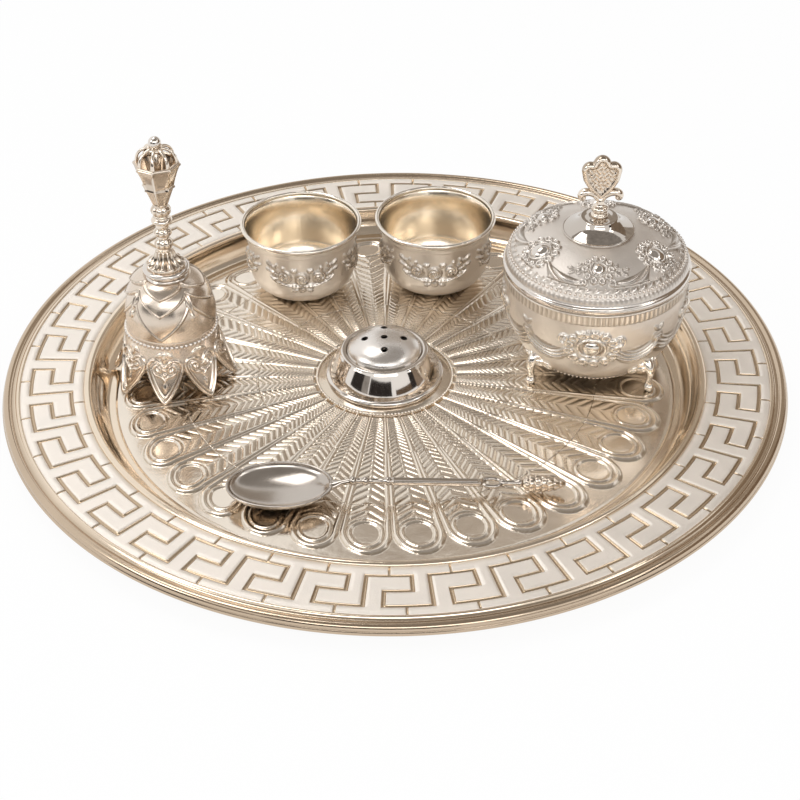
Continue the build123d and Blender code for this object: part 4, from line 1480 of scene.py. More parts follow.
    def stem(self) -> Piece:
        """Baluster of swells, some of them beaded.

        Returns:
            The piece.
        """
        shares = (0.0, 0.03, 0.25, 0.30, 0.47, 0.57, 0.71, 0.75, 0.96, 1.0)
        necks = (2.6, 2.2, 2.1, 2.1, 2.2, 2.3, 2.5, 2.6, 2.5, 2.9)
        swells = (2.6, 3.4, 2.2, 3.3, 2.4, 4.0, 2.8, 3.7, 2.8)
        beaded = (False, True, False, True, False, False, False, True, False)
        heights = [self.stem_z + share * (self.crown_z - self.stem_z) for share in shares]
        rows, waves = [np.array([[0.0, heights[0]]])], [np.zeros(1)]
        for k, wide in enumerate(swells):
            t = np.linspace(0.0, 1.0, 9)
            base = necks[k] + (necks[k + 1] - necks[k]) * t
            round_share = np.sin(np.pi * t) ** 0.7
            radius = base + (wide - base) * round_share
            rows.append(grid(radius, heights[k] + (heights[k + 1] - heights[k]) * t)[:-1])
            waves.append((0.45 * round_share if beaded[k] else 0.0 * t)[:-1])
        rows.append(np.array([[necks[-1], heights[-1]], [0.0, heights[-1]]]))
        waves.append(np.zeros(2))
        outer, wave = np.concatenate(rows), np.concatenate(waves)[:, None]

        def bumps(spot: Spot) -> Raised:
            """Beads round the swells."""
            bead = np.abs(np.cos(4.5 * spot.angle)) ** 0.8
            return wave * (bead - 0.6), {"relief": np.where(wave > 0.02, 0.35 + 0.65 * bead, 1.0)}

        return solid("bell_beaded_stem", [turned(outer, full_turn(104), bumps)], SILVER, self.place)

    def facet(self, angle: Array) -> Array:
        """Share of the corner radius at an angle of a flat-sided form."""
        part = TAU / self.sides
        return np.cos(part / 2) / np.cos(np.mod(angle, part) - part / 2)

    def faceted(self, profile: Array, rib: float) -> Patch:
        """Flat-sided turned form with fine ribs on its corners.

        Args:
            profile: Corner radius and height, from low to high.
            rib: Height of the ribs.

        Returns:
            The patch.
        """
        angles = full_turn(self.sides * 12)
        radius = profile[:, :1] * self.facet(angles)[None, :]
        part = TAU / self.sides
        from_corner = np.abs(np.mod(angles + part / 2, part) - part / 2)[None, :] * profile[:, :1]
        ridge = swell(from_corner, 0.55) * (profile[:, :1] > 2.0)
        radius = radius + rib * ridge
        points = grid(radius * np.cos(angles), radius * np.sin(angles), profile[:, 1:])
        on_axis = min(profile[0, 0], profile[-1, 0]) < 1e-6
        marks = {"relief": unit(0.7 + 0.3 * ridge), "polish": 0.7 + 0.3 * ridge}
        return Patch(points, marks, ring_rows=not on_axis)

    def crown(self) -> Piece:
        """Flat-sided cup with a stepped waist.

        Returns:
            The piece.
        """
        z = self.crown_z
        profile = joined(
            [(0.0, z), (2.8, z), (3.0, z + 0.5), (3.9, z + 3.0), (5.2, z + 6.5)],
            [(5.8, z + 6.8), (5.95, z + 7.2), (5.7, z + 7.7), (5.6, z + 8.0)],
            [(6.3, z + 10.6), (7.3, z + 13.6), (8.2, z + 15.7), (8.7, z + 16.2), (8.8, z + 16.7), (8.5, z + 17.0)],
            [(7.6, z + 16.9), (7.2, z + 16.2), (5.6, z + 11.6), (4.0, z + 8.8), (0.0, z + 8.6)],
        )
        piece = solid("bell_faceted_crown", [self.faceted(profile, 0.22)], SILVER, self.place)
        piece.data.set_sharp_from_angle(angle=np.radians(38.0))
        return piece

    def cage_ribs(self) -> Piece:
        """Curved ribs that close the crown, with open windows between them.

        Returns:
            The piece.
        """
        z = self.cage_z
        path = bend([(7.3, 0.0, z - 0.4), (7.6, 0.0, z + 3.2), (6.4, 0.0, z + 6.0), (1.9, 0.0, z + 6.4)], 22)
        share = np.linspace(0.0, 1.0, len(path))
        wide = 1.05 - 0.3 * np.sin(np.pi * share) - 0.35 * share
        rib = swept(path, wide, np.full(len(path), 0.55), (0.0, 1.0, 0.0), 12, 0.75)
        return round_copies("bell_cage_ribs", [rib], self.sides, SILVER, self.place)

    def cage_ends(self) -> Piece:
        """Flat-sided ring under the ribs and the cap above them.

        Returns:
            The piece.
        """
        z = self.cage_z
        ring = joined([(7.2, z - 0.2), (8.4, z - 0.2), (8.7, z + 0.3), (8.4, z + 0.8), (7.9, z + 0.9), (7.3, z + 0.7)])
        top = self.cap_z
        cap = joined(
            [(0.0, top - 1.6), (2.4, top - 1.6)],
            arc((2.3, top - 1.0), 0.75, 0.6, -70, 80, 8),
            [(2.0, top - 0.35), (1.75, top - 0.1), (1.5, top + 0.1), (0.0, top + 0.1)],
        )
        post = joined([(0.0, z - 8.2), (1.3, z - 8.2), (1.0, z - 2.0), (1.0, z + 6.2), (0.0, z + 6.2)])
        patches = [self.faceted(ring, 0.12), turned(cap, full_turn(56)), turned(post, full_turn(24))]
        return solid("bell_cage_ends", patches, SILVER, self.place)

    def top_ball(self) -> Piece:
        """Ball on the very top.

        Returns:
            The piece.
        """
        middle = self.cap_z + 1.6
        outer = joined([(0.0, self.cap_z), (0.9, self.cap_z + 0.02)], arc((0.0, middle), 2.4, 2.4, -42, 90, 24))
        outer[-1, 0] = 0.0
        return solid("bell_top_ball", [turned(outer, full_turn(48))], MIRROR, self.place)


# The bowls


@dataclass
class Bowl:
    """Small bowl with a rolled rim and groups of roses."""

    side: str
    place: Place
    side_r: float = 21.8
    rim_r: float = 24.8
    roll_r: float = 0.85
    height: float = 30.0
    foot_round: float = 11.0
    wall: float = 1.2
    groups: int = 4
    rose_z: float = 15.6
    rose_r: float = 3.3
    rose_step: float = 7.0
    chase_h: float = 1.6
    inside_at: tuple[Pair, ...] = (
        (0.9, 0.0), (0.95, 14.0), (3.0, 17.8), (6.0, 19.9), (11.0, 21.2),
        (20.0, 21.5), (24.0, 21.88), (26.0, 22.2), (27.5, 22.75), (28.6, 23.3),
    )

    def build(self) -> None:
        """Build the bowl."""
        settle(self.shell(), f"{self.side}_bowl", Slot.SATIN, f"bowl_{self.side}")

    def shell(self) -> Piece:
        """Bowl with its chased outside and bright inside.

        Returns:
            The piece.
        """
        foot = self.side_r - self.foot_round
        roll = (self.rim_r - self.roll_r, self.height - self.roll_r)
        low = joined([(0.0, 0.35), (6.0, 0.2), (8.6, 0.0), (foot, 0.0)])
        side = even(joined(
            arc((foot, self.foot_round), self.foot_round, self.foot_round, -90, 0, 30),
            bend([(self.side_r, 12.0), (self.side_r, 22.0), (22.1, 26.2), (23.3, 28.2)], 30),
        ), 92)
        rim = arc(roll, self.roll_r, self.roll_r, -75, 200, 16)
        inner = joined(
            bend([(23.2, 28.9), (22.0, 27.6), (21.2, 24.0), (20.6, 11.0)], 12),
            arc((12.2, 9.7), 8.4, 8.4, 0, -88, 14),
            [(12.3, 1.25), (11.9, 1.42), (11.5, 1.3), (6.0, 1.3), (0.0, 1.3)],
        )
        outer = joined(low, side, rim)
        floor = 1.0 - smooth(inner[:, 1], 3.0, 9.0)
        patch = turned(outer, spread(180.0 / self.groups, 121), self.roses, inner, floor)
        piece = round_copies(f"bowl_{self.side}_shell", [patch], self.groups, SATIN, self.place)
        piece.data.materials.append(GILT.material())
        for face in piece.data.polygons:
            spot = np.array(face.center) / MM - [self.place.x, self.place.y, self.place.z]
            face.material_index = int(np.hypot(spot[0], spot[1]) < self.inside_r(spot[2]))
        return piece

    def inside_r(self, z: float) -> float:
        """Radius below which a face at a height belongs to the golden inside."""
        return float(np.interp(z, *zip(*self.inside_at)))

    def roses(self, spot: Spot) -> Raised:
        """Three roses with leaf sprays, and a small flower below them.

        Args:
            spot: Places on the bowl.

        Returns:
            Lift and marks.
        """
        x, z = np.broadcast_arrays(spot.across, spot.height)
        side = np.abs(x)
        flower = highest(*(
            rose(x - k * self.rose_step, z - self.rose_z - 0.5 * abs(k), self.rose_r, 70.0 * k) for k in (-1, 0, 1)
        ))
        green = leaves(
            side, z,
            ((3.4, 18.2), (4.2, 20.4), 0.9), ((3.4, 18.2), (2.2, 20.2), 0.8), ((3.4, 13.2), (4.6, 11.0), 1.0),
            ((3.4, 13.0), (1.6, 11.6), 0.9), ((9.6, 17.6), (12.6, 20.8), 1.1), ((9.8, 16.0), (13.6, 17.6), 1.1),
            ((9.6, 14.8), (12.6, 13.4), 1.0), ((10.8, 19.4), (10.4, 22.0), 0.8), ((12.6, 19.6), (15.4, 22.2), 0.8),
            ((8.0, 18.8), (7.6, 21.2), 0.8), ((13.2, 17.4), (15.8, 18.6), 0.7), ((1.6, 10.6), (4.4, 9.6), 0.8),
        )
        small = rose(x, z - 10.6, 1.7, 40.0)
        stem = bend([(0.6, 12.6), (4.2, 10.6), (6.6, 14.0), (10.6, 12.0), (13.0, 15.6)], 22)
        chased = highest(flower, 0.7 * green, 0.7 * small, 0.8 * strand(side, z, stem, 0.5))
        lift = self.chase_h * chased + 0.2 * swell(z - 25.2, 0.35)
        relief = unit(np.where(chased > 0.02, 0.05 + 1.05 * chased, 0.92))
        return lift, {"relief": relief, "polish": highest(smooth(z, 26.5, 27.6), 0.9 * chased)}


# The box


@dataclass
class Box:
    """Rounded box on four scroll feet, chased with medallions and swags."""

    place: Place = Place(77.773, 17.384, FLOOR_TOP, -97.0)
    radius: float = 34.8
    floor_r: float = 20.0
    lift: float = 3.5
    round_h: float = 30.5
    knee_z: float = 34.0
    rim_z: float = 41.0
    wall: float = 1.5
    panels: int = 4
    boss_z: float = 25.6
    boss_h: float = 2.5
    chase_h: float = 1.45
    bead_ring_r: float = 24.3
    bead_r: float = 0.62
    bead_z: float = 5.0
    bead_count: int = 96
    flutes: int = 108
    foot_ring: float = 32.2
    body: str = "box"

    def build(self) -> None:
        """Build the body, its fluted band and its feet."""
        settle(self.shell(), self.body, Slot.SATIN, "box_body")
        under = self.place.moved(self.bead_z)
        ring = beads("box_bottom_beads", self.bead_ring_r, self.bead_count, self.bead_r, SATIN, under)
        settle(ring, self.body, Slot.SATIN, "box_body")
        settle(self.fluting(), self.body, Slot.SATIN, "box_flute_band")
        feet = [f"box_foot_{number}" for number in range(1, 5)]
        settle(self.feet(), self.body, Slot.SATIN, *feet)

    def radius_at(self, z: float) -> float:
        """Radius of the rounded side at a height."""
        drop = (self.knee_z - z) / self.round_h
        return self.floor_r + (self.radius - self.floor_r) * np.sqrt(1.0 - drop * drop)

    def shell(self) -> Piece:
        """Body with its chased side.

        Returns:
            The piece.
        """
        across = self.radius - self.floor_r
        low = [(0.0, self.lift), (12.0, self.lift), (self.floor_r, self.lift)]
        curve = arc((self.floor_r, self.knee_z), across, self.round_h, -90, 0, 80)
        side = even(joined(curve, [(self.radius, self.rim_z - 0.5)]), 140)
        mouth = [(self.radius - 0.2, self.rim_z - 0.1), (self.radius - 0.75, self.rim_z), (33.5, self.rim_z - 0.1)]
        inner = joined(
            [(33.3, self.rim_z - 0.6), (33.3, self.knee_z)],
            arc((self.floor_r, self.knee_z), across - self.wall, self.round_h - self.wall, 0, -90, 14),
            [(10.0, 5.0), (0.0, 5.0)],
        )
        outer = joined(low, side, mouth)
        patch = turned(outer, spread(180.0 / self.panels, 149), self.chasing, inner, 0.6)
        return round_copies("box_chased_body", [patch], self.panels, SATIN, self.place)

    def chasing(self, spot: Spot) -> Raised:
        """Medallion, swags and corner flowers of one side.

        Args:
            spot: Places on the body.

        Returns:
            Lift and marks.
        """
        x, z = np.broadcast_arrays(spot.across, spot.height)
        up = z - self.boss_z
        oval = np.hypot(x / 4.9, up / 4.0)
        boss = ball(np.hypot(x, up), 3.5)
        ring = swell((oval - 1.04) * 4.4, 0.65)
        frame_round = np.hypot(x / 1.28, up + 0.8)
        lace = curls(x / 1.28, up + 0.8, 6.9, 13, 1.75)
        side = np.abs(x)
        fan = [((lean * 1.3, 4.6), (lean * 2.1, 8.6 - 0.35 * abs(lean) ** 1.4), 0.9) for lean in range(-3, 4)]
        low = leaves(
            side, up,
            ((3.4, -6.2), (6.2, -9.4), 1.2), ((1.2, -6.6), (2.4, -10.4), 1.2), ((5.4, -4.8), (9.4, -6.6), 1.2),
        )
        scroll = strand(side, up, coil((10.4, 3.0), 2.6, 1.3, 1, 250.0), 0.55)
        crest = highest(leaves(x, up, *fan), scroll, 0.9 * low)
        lace = highest(np.where(frame_round < 9.6, lace, 0.0), crest) * smooth(oval, 1.1, 1.3)
        swag_path = bend([(9.0, 22.8), (15.0, 17.0), (22.0, 19.0), (28.5, 25.5)], 26)
        share, aside = ribbon(side, z, swag_path)
        width = 1.4 + 3.0 * np.sin(np.pi * unit(share)) ** 0.8
        fold = 0.55 + 0.45 * np.cos(TAU * aside / 1.5 + 3.0 * share)
        swag = swell(aside, width) * fold
        seam = spot.radius * (np.abs(spot.angle) - np.pi / self.panels)
        foot = (0.0, 22.4)
        buds = leaves(seam, z, ((0.0, 28.6), (-2.2, 31.8), 0.9), (foot, (-2.0, 18.6), 1.0), (foot, (2.0, 18.6), 1.0))
        bloom = highest(rose(seam, up, 3.2, 20.0), 0.8 * buds)
        chased = highest(ring, 0.8 * lace, 0.85 * swag, 0.8 * bloom)
        sunk = 0.25 * smooth(1.0 - oval, 0.05, 0.2) * (boss <= 0.0)
        lift = highest(self.chase_h * chased, self.boss_h * boss) - sunk
        carved = highest(chased, boss)
        relief = unit(np.where(carved > 0.02, 0.08 + 1.05 * carved, 0.92))
        polish = unit(highest(0.95 * chased, smooth(boss, 0.0, 0.3)))
        return lift, {"relief": relief, "polish": polish}

    def fluting(self) -> Piece:
        """Band of upright flutes with a scalloped lower edge.

        Returns:
            The piece.
        """
        cols = 7
        angle = spread(180.0 / self.flutes, cols)
        share = np.linspace(-1.0, 1.0, cols)[None, :]
        top = self.rim_z - 0.6
        foot = top - 4.5 - 0.5 * ball(share, 1.0)
        rows = np.array([0.0, 0.08, 0.2, 0.75, 0.86, 0.93, 1.0])[:, None]
        lifts = np.array([0.15, 0.55, 0.7, 0.7, 0.75, 0.95, 0.6])[:, None]
        hollow = 0.5 * (1.0 - np.abs(share) ** 1.5) * ((rows > 0.05) & (rows < 0.9))
        z = foot + rows * (top - foot)
        back = np.full((2, cols), self.radius - 0.25)
        radius = np.concatenate([self.radius + lifts - hollow, back])
        marks = {"relief": 1.0 - 1.1 * hollow, "polish": 0.4 - 0.3 * hollow}
        patch = walled(radius, np.concatenate([z, z[[-1, 0]]]), angle, marks, len(rows))
        return round_copies("box_fluting", [patch], self.flutes, SATIN, self.place)

    def feet(self) -> Piece:
        """Four scroll feet with a leaf against the body.

        Returns:
            The piece.
        """
        reach = self.foot_ring
        path = bend([(27.0, 0.0, 12.4), (33.4, 0.0, 12.2), (33.6, 0.0, 7.0), (30.6, 0.0, 4.2), (reach, 0.0, 0.7)], 30)
        share = np.linspace(0.0, 1.0, len(path))
        thick = 1.9 - 0.85 * smooth(share, 0.25, 0.75) + 0.75 * smooth(share, 0.8, 0.97)
        leg = swept(path, 1.15 * thick, thick, (0.0, 1.0, 0.0), 16)
        tip = joined([(0.0, 0.0), (1.4, 0.0)], arc((0.9, 1.25), 1.0, 1.25, -80, 90, 10), [(0.0, 2.5)])
        toe = turned(tip, full_turn(20))
        toe.points[..., 0] += reach + 0.1
        leg.points[..., 2] = highest(leg.points[..., 2], 0.0)
        patches = [leg, toe, self.foot_leaf()]
        for hand in (-1, 1):
            turn = np.linspace(0.0, 1.35 * TAU, 34)
            out = 2.7 - 2.0 * turn / turn[-1]
            y = hand * (5.0 - out * np.cos(turn))
            z = 9.4 - out * np.sin(turn)
            lean = np.array([self.radius_at(max(value, 4.2)) for value in z])
            path = grid(np.sqrt(highest(lean**2 - y**2, 1.0)) + 0.35, y, z)
            size = np.linspace(0.75, 0.5, len(path))
            patches.append(swept(path, size, size, (1.0, 0.0, 0.0), 9))
        place = self.place.moved(turn=180.0 / self.panels)
        return round_copies("box_scroll_feet", patches, self.panels, SATIN, place)

    def foot_leaf(self) -> Patch:
        """Fluted leaf at the root of a foot.

        Returns:
            The patch.
        """
        around = full_turn(60)
        rise = np.linspace(-np.pi / 2, np.pi / 2, 22)[:, None]
        lobes = 1.0 + 0.10 * np.cos(9.0 * around)[None, :] * np.cos(rise)
        y = 4.3 * np.cos(rise) * np.cos(around) * lobes
        z = 3.5 * np.cos(rise) * np.sin(around) * lobes
        x = 2.2 * np.sin(rise) * (1.0 + 0.12 * np.cos(9.0 * around)[None, :])
        points = grid(self.radius_at(10.8) - 0.2 + x, y, 10.8 + z)
        return Patch(points)


# The lid


@dataclass
class Lid:
    """Domed lid with bosses, wreaths and swags, a mirror collar and a fan finial."""

    place: Place = Place(77.773, 17.384, FLOOR_TOP, -97.0)
    edge_r: float = 36.0
    rim_z: float = 41.0
    dome_r: float = 35.0
    dome_z: float = 43.6
    rise: float = 14.0
    wall: float = 1.4
    folds: int = 3
    fold_turn: float = 2.0
    small_boss_at: float = 24.2
    large_boss_at: float = 24.8
    small_boss_h: float = 1.5
    large_boss_h: float = 2.1
    chase_h: float = 1.2
    rings: tuple[tuple[str, float, int, float], ...] = (
        ("lid_border_beads", 33.5, 112, 0.66),
        ("lid_border_seeds", 31.5, 56, 0.42),
    )
    collar_r: float = 13.8
    finial_z: float = 62.4
    fan_w: float = 15.0
    fan_h: float = 18.6
    finial_h: float = 26.2
    body: str = "lid"

    def build(self) -> None:
        """Build the dome, its border, the collar and the finial."""
        settle(self.dome(), self.body, Slot.FROSTED, "lid_dome")
        for name, ring_r, count, bead_r in self.rings:
            ring = beads(name, ring_r, count, bead_r, FROSTED, self.place.moved(self.dome_at(ring_r) + 0.2))
            settle(ring, self.body, Slot.FROSTED, "lid_dome")
        settle(self.collar(), self.body, Slot.POLISHED, "lid_collar")
        settle(self.finial(), self.body, Slot.POLISHED, "lid_finial")

    def dome_at(self, radius: float) -> float:
        """Height of the dome at a distance from its axis."""
        return self.dome_z + self.rise * np.sqrt(1.0 - (radius / self.dome_r) ** 2)

    def dome(self) -> Piece:
        """Dome with its rounded edge.

        Returns:
            The dome.
        """
        z, e = self.rim_z, self.edge_r
        edge = joined(
            [(32.4, z), (e - 0.5, z), (e - 0.1, z + 0.2), (e, z + 0.7), (e, z + 1.7)],
            [(e - 0.15, z + 2.2), (e - 0.5, z + 2.5), (self.dome_r + 0.1, z + 2.7)],
        )
        curve = even(arc((0.0, self.dome_z), self.dome_r, self.rise, 5, 72, 90), 150)
        top = arc((0.0, self.dome_z), self.dome_r, self.rise, 74, 87.7, 5)
        inner = joined(
            arc((0.0, self.dome_z), self.dome_r - self.wall, self.rise - self.wall, 87.6, 3, 14),
            [(33.4, self.dome_z), (32.4, self.dome_z)],
        )
        patch = turned(joined(edge, curve, top), spread(180.0 / self.folds, 181), self.chasing, inner, 0.3)
        return round_copies("lid_chased_dome", [patch], self.folds, FROSTED, self.place.moved(turn=self.fold_turn))

    def chasing(self, spot: Spot) -> Raised:
        """Bosses, wreaths, sprigs and swags of one third of the lid.

        Args:
            spot: Places on the lid.

        Returns:
            Lift and marks.
        """
        x = spot.radius * np.sin(spot.angle)
        y = spot.radius * np.cos(spot.angle)
        on_dome = smooth(spot.height, self.dome_z + 0.9, self.dome_z + 1.6)
        small = np.hypot(x, y - self.small_boss_at)
        part = np.radians(180.0 / self.folds)
        large_x, large_y = self.large_boss_at * np.sin(part), self.large_boss_at * np.cos(part)
        side = np.abs(x)
        large = np.hypot(side - large_x, y - large_y)
        bosses = highest(self.small_boss_h * ball(small, 2.5), self.large_boss_h * ball(large, 3.5))
        sprigs = leaves(
            side, y,
            ((5.9, 24.6), (8.2, 26.2), 0.95), ((6.1, 24.0), (9.2, 23.6), 1.0), ((8.4, 24.2), (11.0, 25.4), 0.9),
            ((9.0, 23.4), (11.4, 22.4), 0.8), ((5.9, 22.8), (7.4, 21.2), 0.8),
        )
        laurel = highest(
            0.8 * swell(small - 3.0, 0.45), curls(x, y - self.small_boss_at, 4.8, 10, 1.5),
            0.9 * swell(large - 3.95, 0.5), curls(side - large_x, y - large_y, 6.1, 12, 1.65),
            0.85 * sprigs,
        )
        swag_path = bend([(18.4, 19.0), (17.4, 25.4), (12.4, 30.4), (7.6, 30.4), (5.0, 28.6)], 30)
        share, aside = ribbon(side, y, swag_path)
        width = 0.7 + 2.0 * np.sin(np.pi * unit(1.12 * share - 0.04)) ** 0.9
        fold = 0.5 + 0.5 * np.cos(TAU * aside / 1.7 + 3.0 * share)
        swag = highest(
            swell(aside, width) * (0.45 + 0.55 * fold),
            strand(side, y, coil((5.2, 29.4), 1.7, 1.2, -1, 60.0), 0.5),
            0.8 * leaves(side, y, ((15.6, 28.0), (19.4, 29.2), 0.9), ((17.6, 24.6), (20.6, 26.4), 0.9)),
        )
        ticks = 0.5 + 0.5 * np.cos(111.0 * spot.angle)
        blades = 0.5 + 0.5 * np.cos(57.0 * spot.angle + 0.9 * (spot.radius - 32.3))
        outer, inner = (swell(spot.radius - at, half) * on_dome for at, half in ((34.4, 0.5), (32.3, 0.8)))
        border = highest(0.3 * outer * ticks, 0.4 * inner * blades)
        # Painted shade in the low gaps between the border's ticks and blades.
        painted_gap_shade = highest(outer * (1.0 - ticks), inner * (1.0 - blades))
        carved = highest(laurel, swag) * (1.0 - smooth(spot.radius, 30.7, 31.2))
        lift = highest(self.chase_h * highest(carved, border), bosses * on_dome)
        high = highest(carved, smooth(bosses, 0.0, 0.4))
        relief = unit(np.where(high > 0.03, 0.10 + 1.05 * high, 0.95) - 0.45 * painted_gap_shade)
        polish = unit(highest(0.75 * carved, 1.6 * border, smooth(bosses, 0.0, 0.3)))
        polish = highest(polish, 1.0 - smooth(spot.height, self.dome_z, self.dome_z + 0.6))
        return lift, {"relief": relief, "polish": polish}

    def collar(self) -> Piece:
        """Mirror collar under the finial.

        Returns:
            The piece.
        """
        foot = self.dome_at(self.collar_r)
        outer = joined(
            [(12.0, foot + 0.2), (13.5, foot - 0.1)],
            arc((13.35, foot + 0.45), 0.5, 0.5, -60, 100, 9),
            bend([(13.0, foot + 1.05), (10.6, foot + 2.0), (8.2, foot + 3.4), (7.2, self.finial_z - 0.4)], 20),
            arc((6.7, self.finial_z - 0.3), 0.4, 0.3, 20, 90, 5),
            [(4.6, self.finial_z + 0.02), (4.2, self.finial_z + 0.35), (3.6, self.finial_z + 0.35)],
        )
        inner = joined([(1.5, self.finial_z + 0.3), (1.5, foot + 1.4)])
        # The darker tone all over the collar is a painted dark reflection.
        patch = turned(outer, full_turn(128), inner=inner).toned(0.6, 1.0)
        return solid("lid_mirror_collar", [patch], MIRROR, self.place)

    def finial(self) -> Piece:
        """Fan with a lobed crest, two scroll leaves and a ringed knob.

        Returns:
            The piece.
        """
        z = self.finial_z
        knob = joined(
            [(0.0, z), (2.6, z), (3.2, z + 0.5), (3.3, z + 1.1), (2.9, z + 1.6)],
            arc((0.0, z + 3.3), 3.1, 2.0, -45, 50, 12),
            [(1.7, z + 5.2), (1.45, z + 6.2), (1.5, z + 8.2), (0.0, z + 8.6)],
        )

        def beadwork(spot: Spot) -> Raised:
            """Beads round the knob.

            Args:
                spot: Places on the knob.

            Returns:
                Lift and marks.
            """
            wave = np.abs(np.cos(5.0 * spot.angle)) ** 0.8
            belt = swell(spot.height - z - 3.3, 1.7)
            return 0.3 * belt * (wave - 0.5), {"relief": unit(1.0 - 0.5 * belt * (1.0 - wave))}

        patches = [turned(knob, full_turn(80), beadwork)]
        for hand in (-1, 1):
            path = bend([(0.0, 5.6), (1.0, 9.6), (4.6, 12.6), (8.6, 11.6), (8.6, 7.4), (6.0, 7.2), (6.2, 8.6)], 34)
            points = grid(hand * path[:, 0], 0.0, z + path[:, 1])
            share = np.linspace(0.0, 1.0, len(points))
            thick = 0.8 + 0.75 * np.sin(np.pi * unit(1.05 * share))
            patches.append(swept(points, thick + 0.35, thick, (0.0, 1.0, 0.0), 14))
        patches.append(self.fan())
        return solid("lid_fan_finial", patches, SILVER, replace(self.place, turn=0.0))

    def fan(self) -> Patch:
        """Fan plate, chased on both faces, as one closed pillow.

        Returns:
            The patch.
        """
        cols, rows = 61, 49
        share = np.sin(np.linspace(-1.0, 1.0, cols) * np.pi / 2)
        x = share * self.fan_w / 2
        low = self.finial_z + self.finial_h - self.fan_h
        across = np.abs(share)
        foot = np.interp(across, [0.0, 0.25, 0.52, 0.75, 0.9, 1.0], [0.0, 0.075, 0.19, 0.32, 0.43, 0.64])
        middle_lobe = 0.80 * self.fan_h + 3.3 * ball(x, 3.3)
        side_lobe = 0.66 * self.fan_h + 3.2 * ball(np.abs(x) - 4.3, 3.2)
        foot, head = low + foot * self.fan_h, low + highest(middle_lobe * (np.abs(x) < 3.3), side_lobe)
        rise = np.linspace(0.0, 1.0, rows)[:, None]
        z = foot + (head - foot) * (0.5 - 0.5 * np.cos(np.pi * rise))
        outline = joined(grid(x, foot), grid(x, head)[::-1], [(x[0], foot[0])])
        wide = x + 0.0 * z
        _, gap = ribbon(wide, z, outline)
        gap = np.abs(gap)
        gap[0], gap[-1] = 0.0, 0.0
        gap[:, 0], gap[:, -1] = 0.0, 0.0
        border = 1.85 * ball(1.0 - np.minimum(gap, 1.1) / 1.1, 1.0)
        panel = smooth(gap, 1.7, 2.3)
        up = z - low
        first = np.sin(1.9 * wide + 1.2 * np.sin(1.6 * up))
        second = np.sin(1.9 * up + 1.2 * np.sin(2.1 * np.abs(wide)))
        pebbles = np.abs(first * second) ** 0.5
        thick = border * (1.0 - panel) + panel * (1.05 + 0.55 * pebbles)
        face, back = (grid(wide, hand * thick, z) for hand in (-1, 1))
        line = highest(swell(gap - 0.1, 0.35), 0.8 * swell(gap - 1.75, 0.4))
        relief = unit(1.0 - panel * smooth(1.0 - pebbles, 0.2, 0.9) * 0.9 - 0.75 * line)
        marks = {"relief": np.concatenate([relief, relief[::-1]])}
        return Patch(np.concatenate([face, back[::-1]]), marks, ring_rows=True, ring_cols=False)


# The spoon


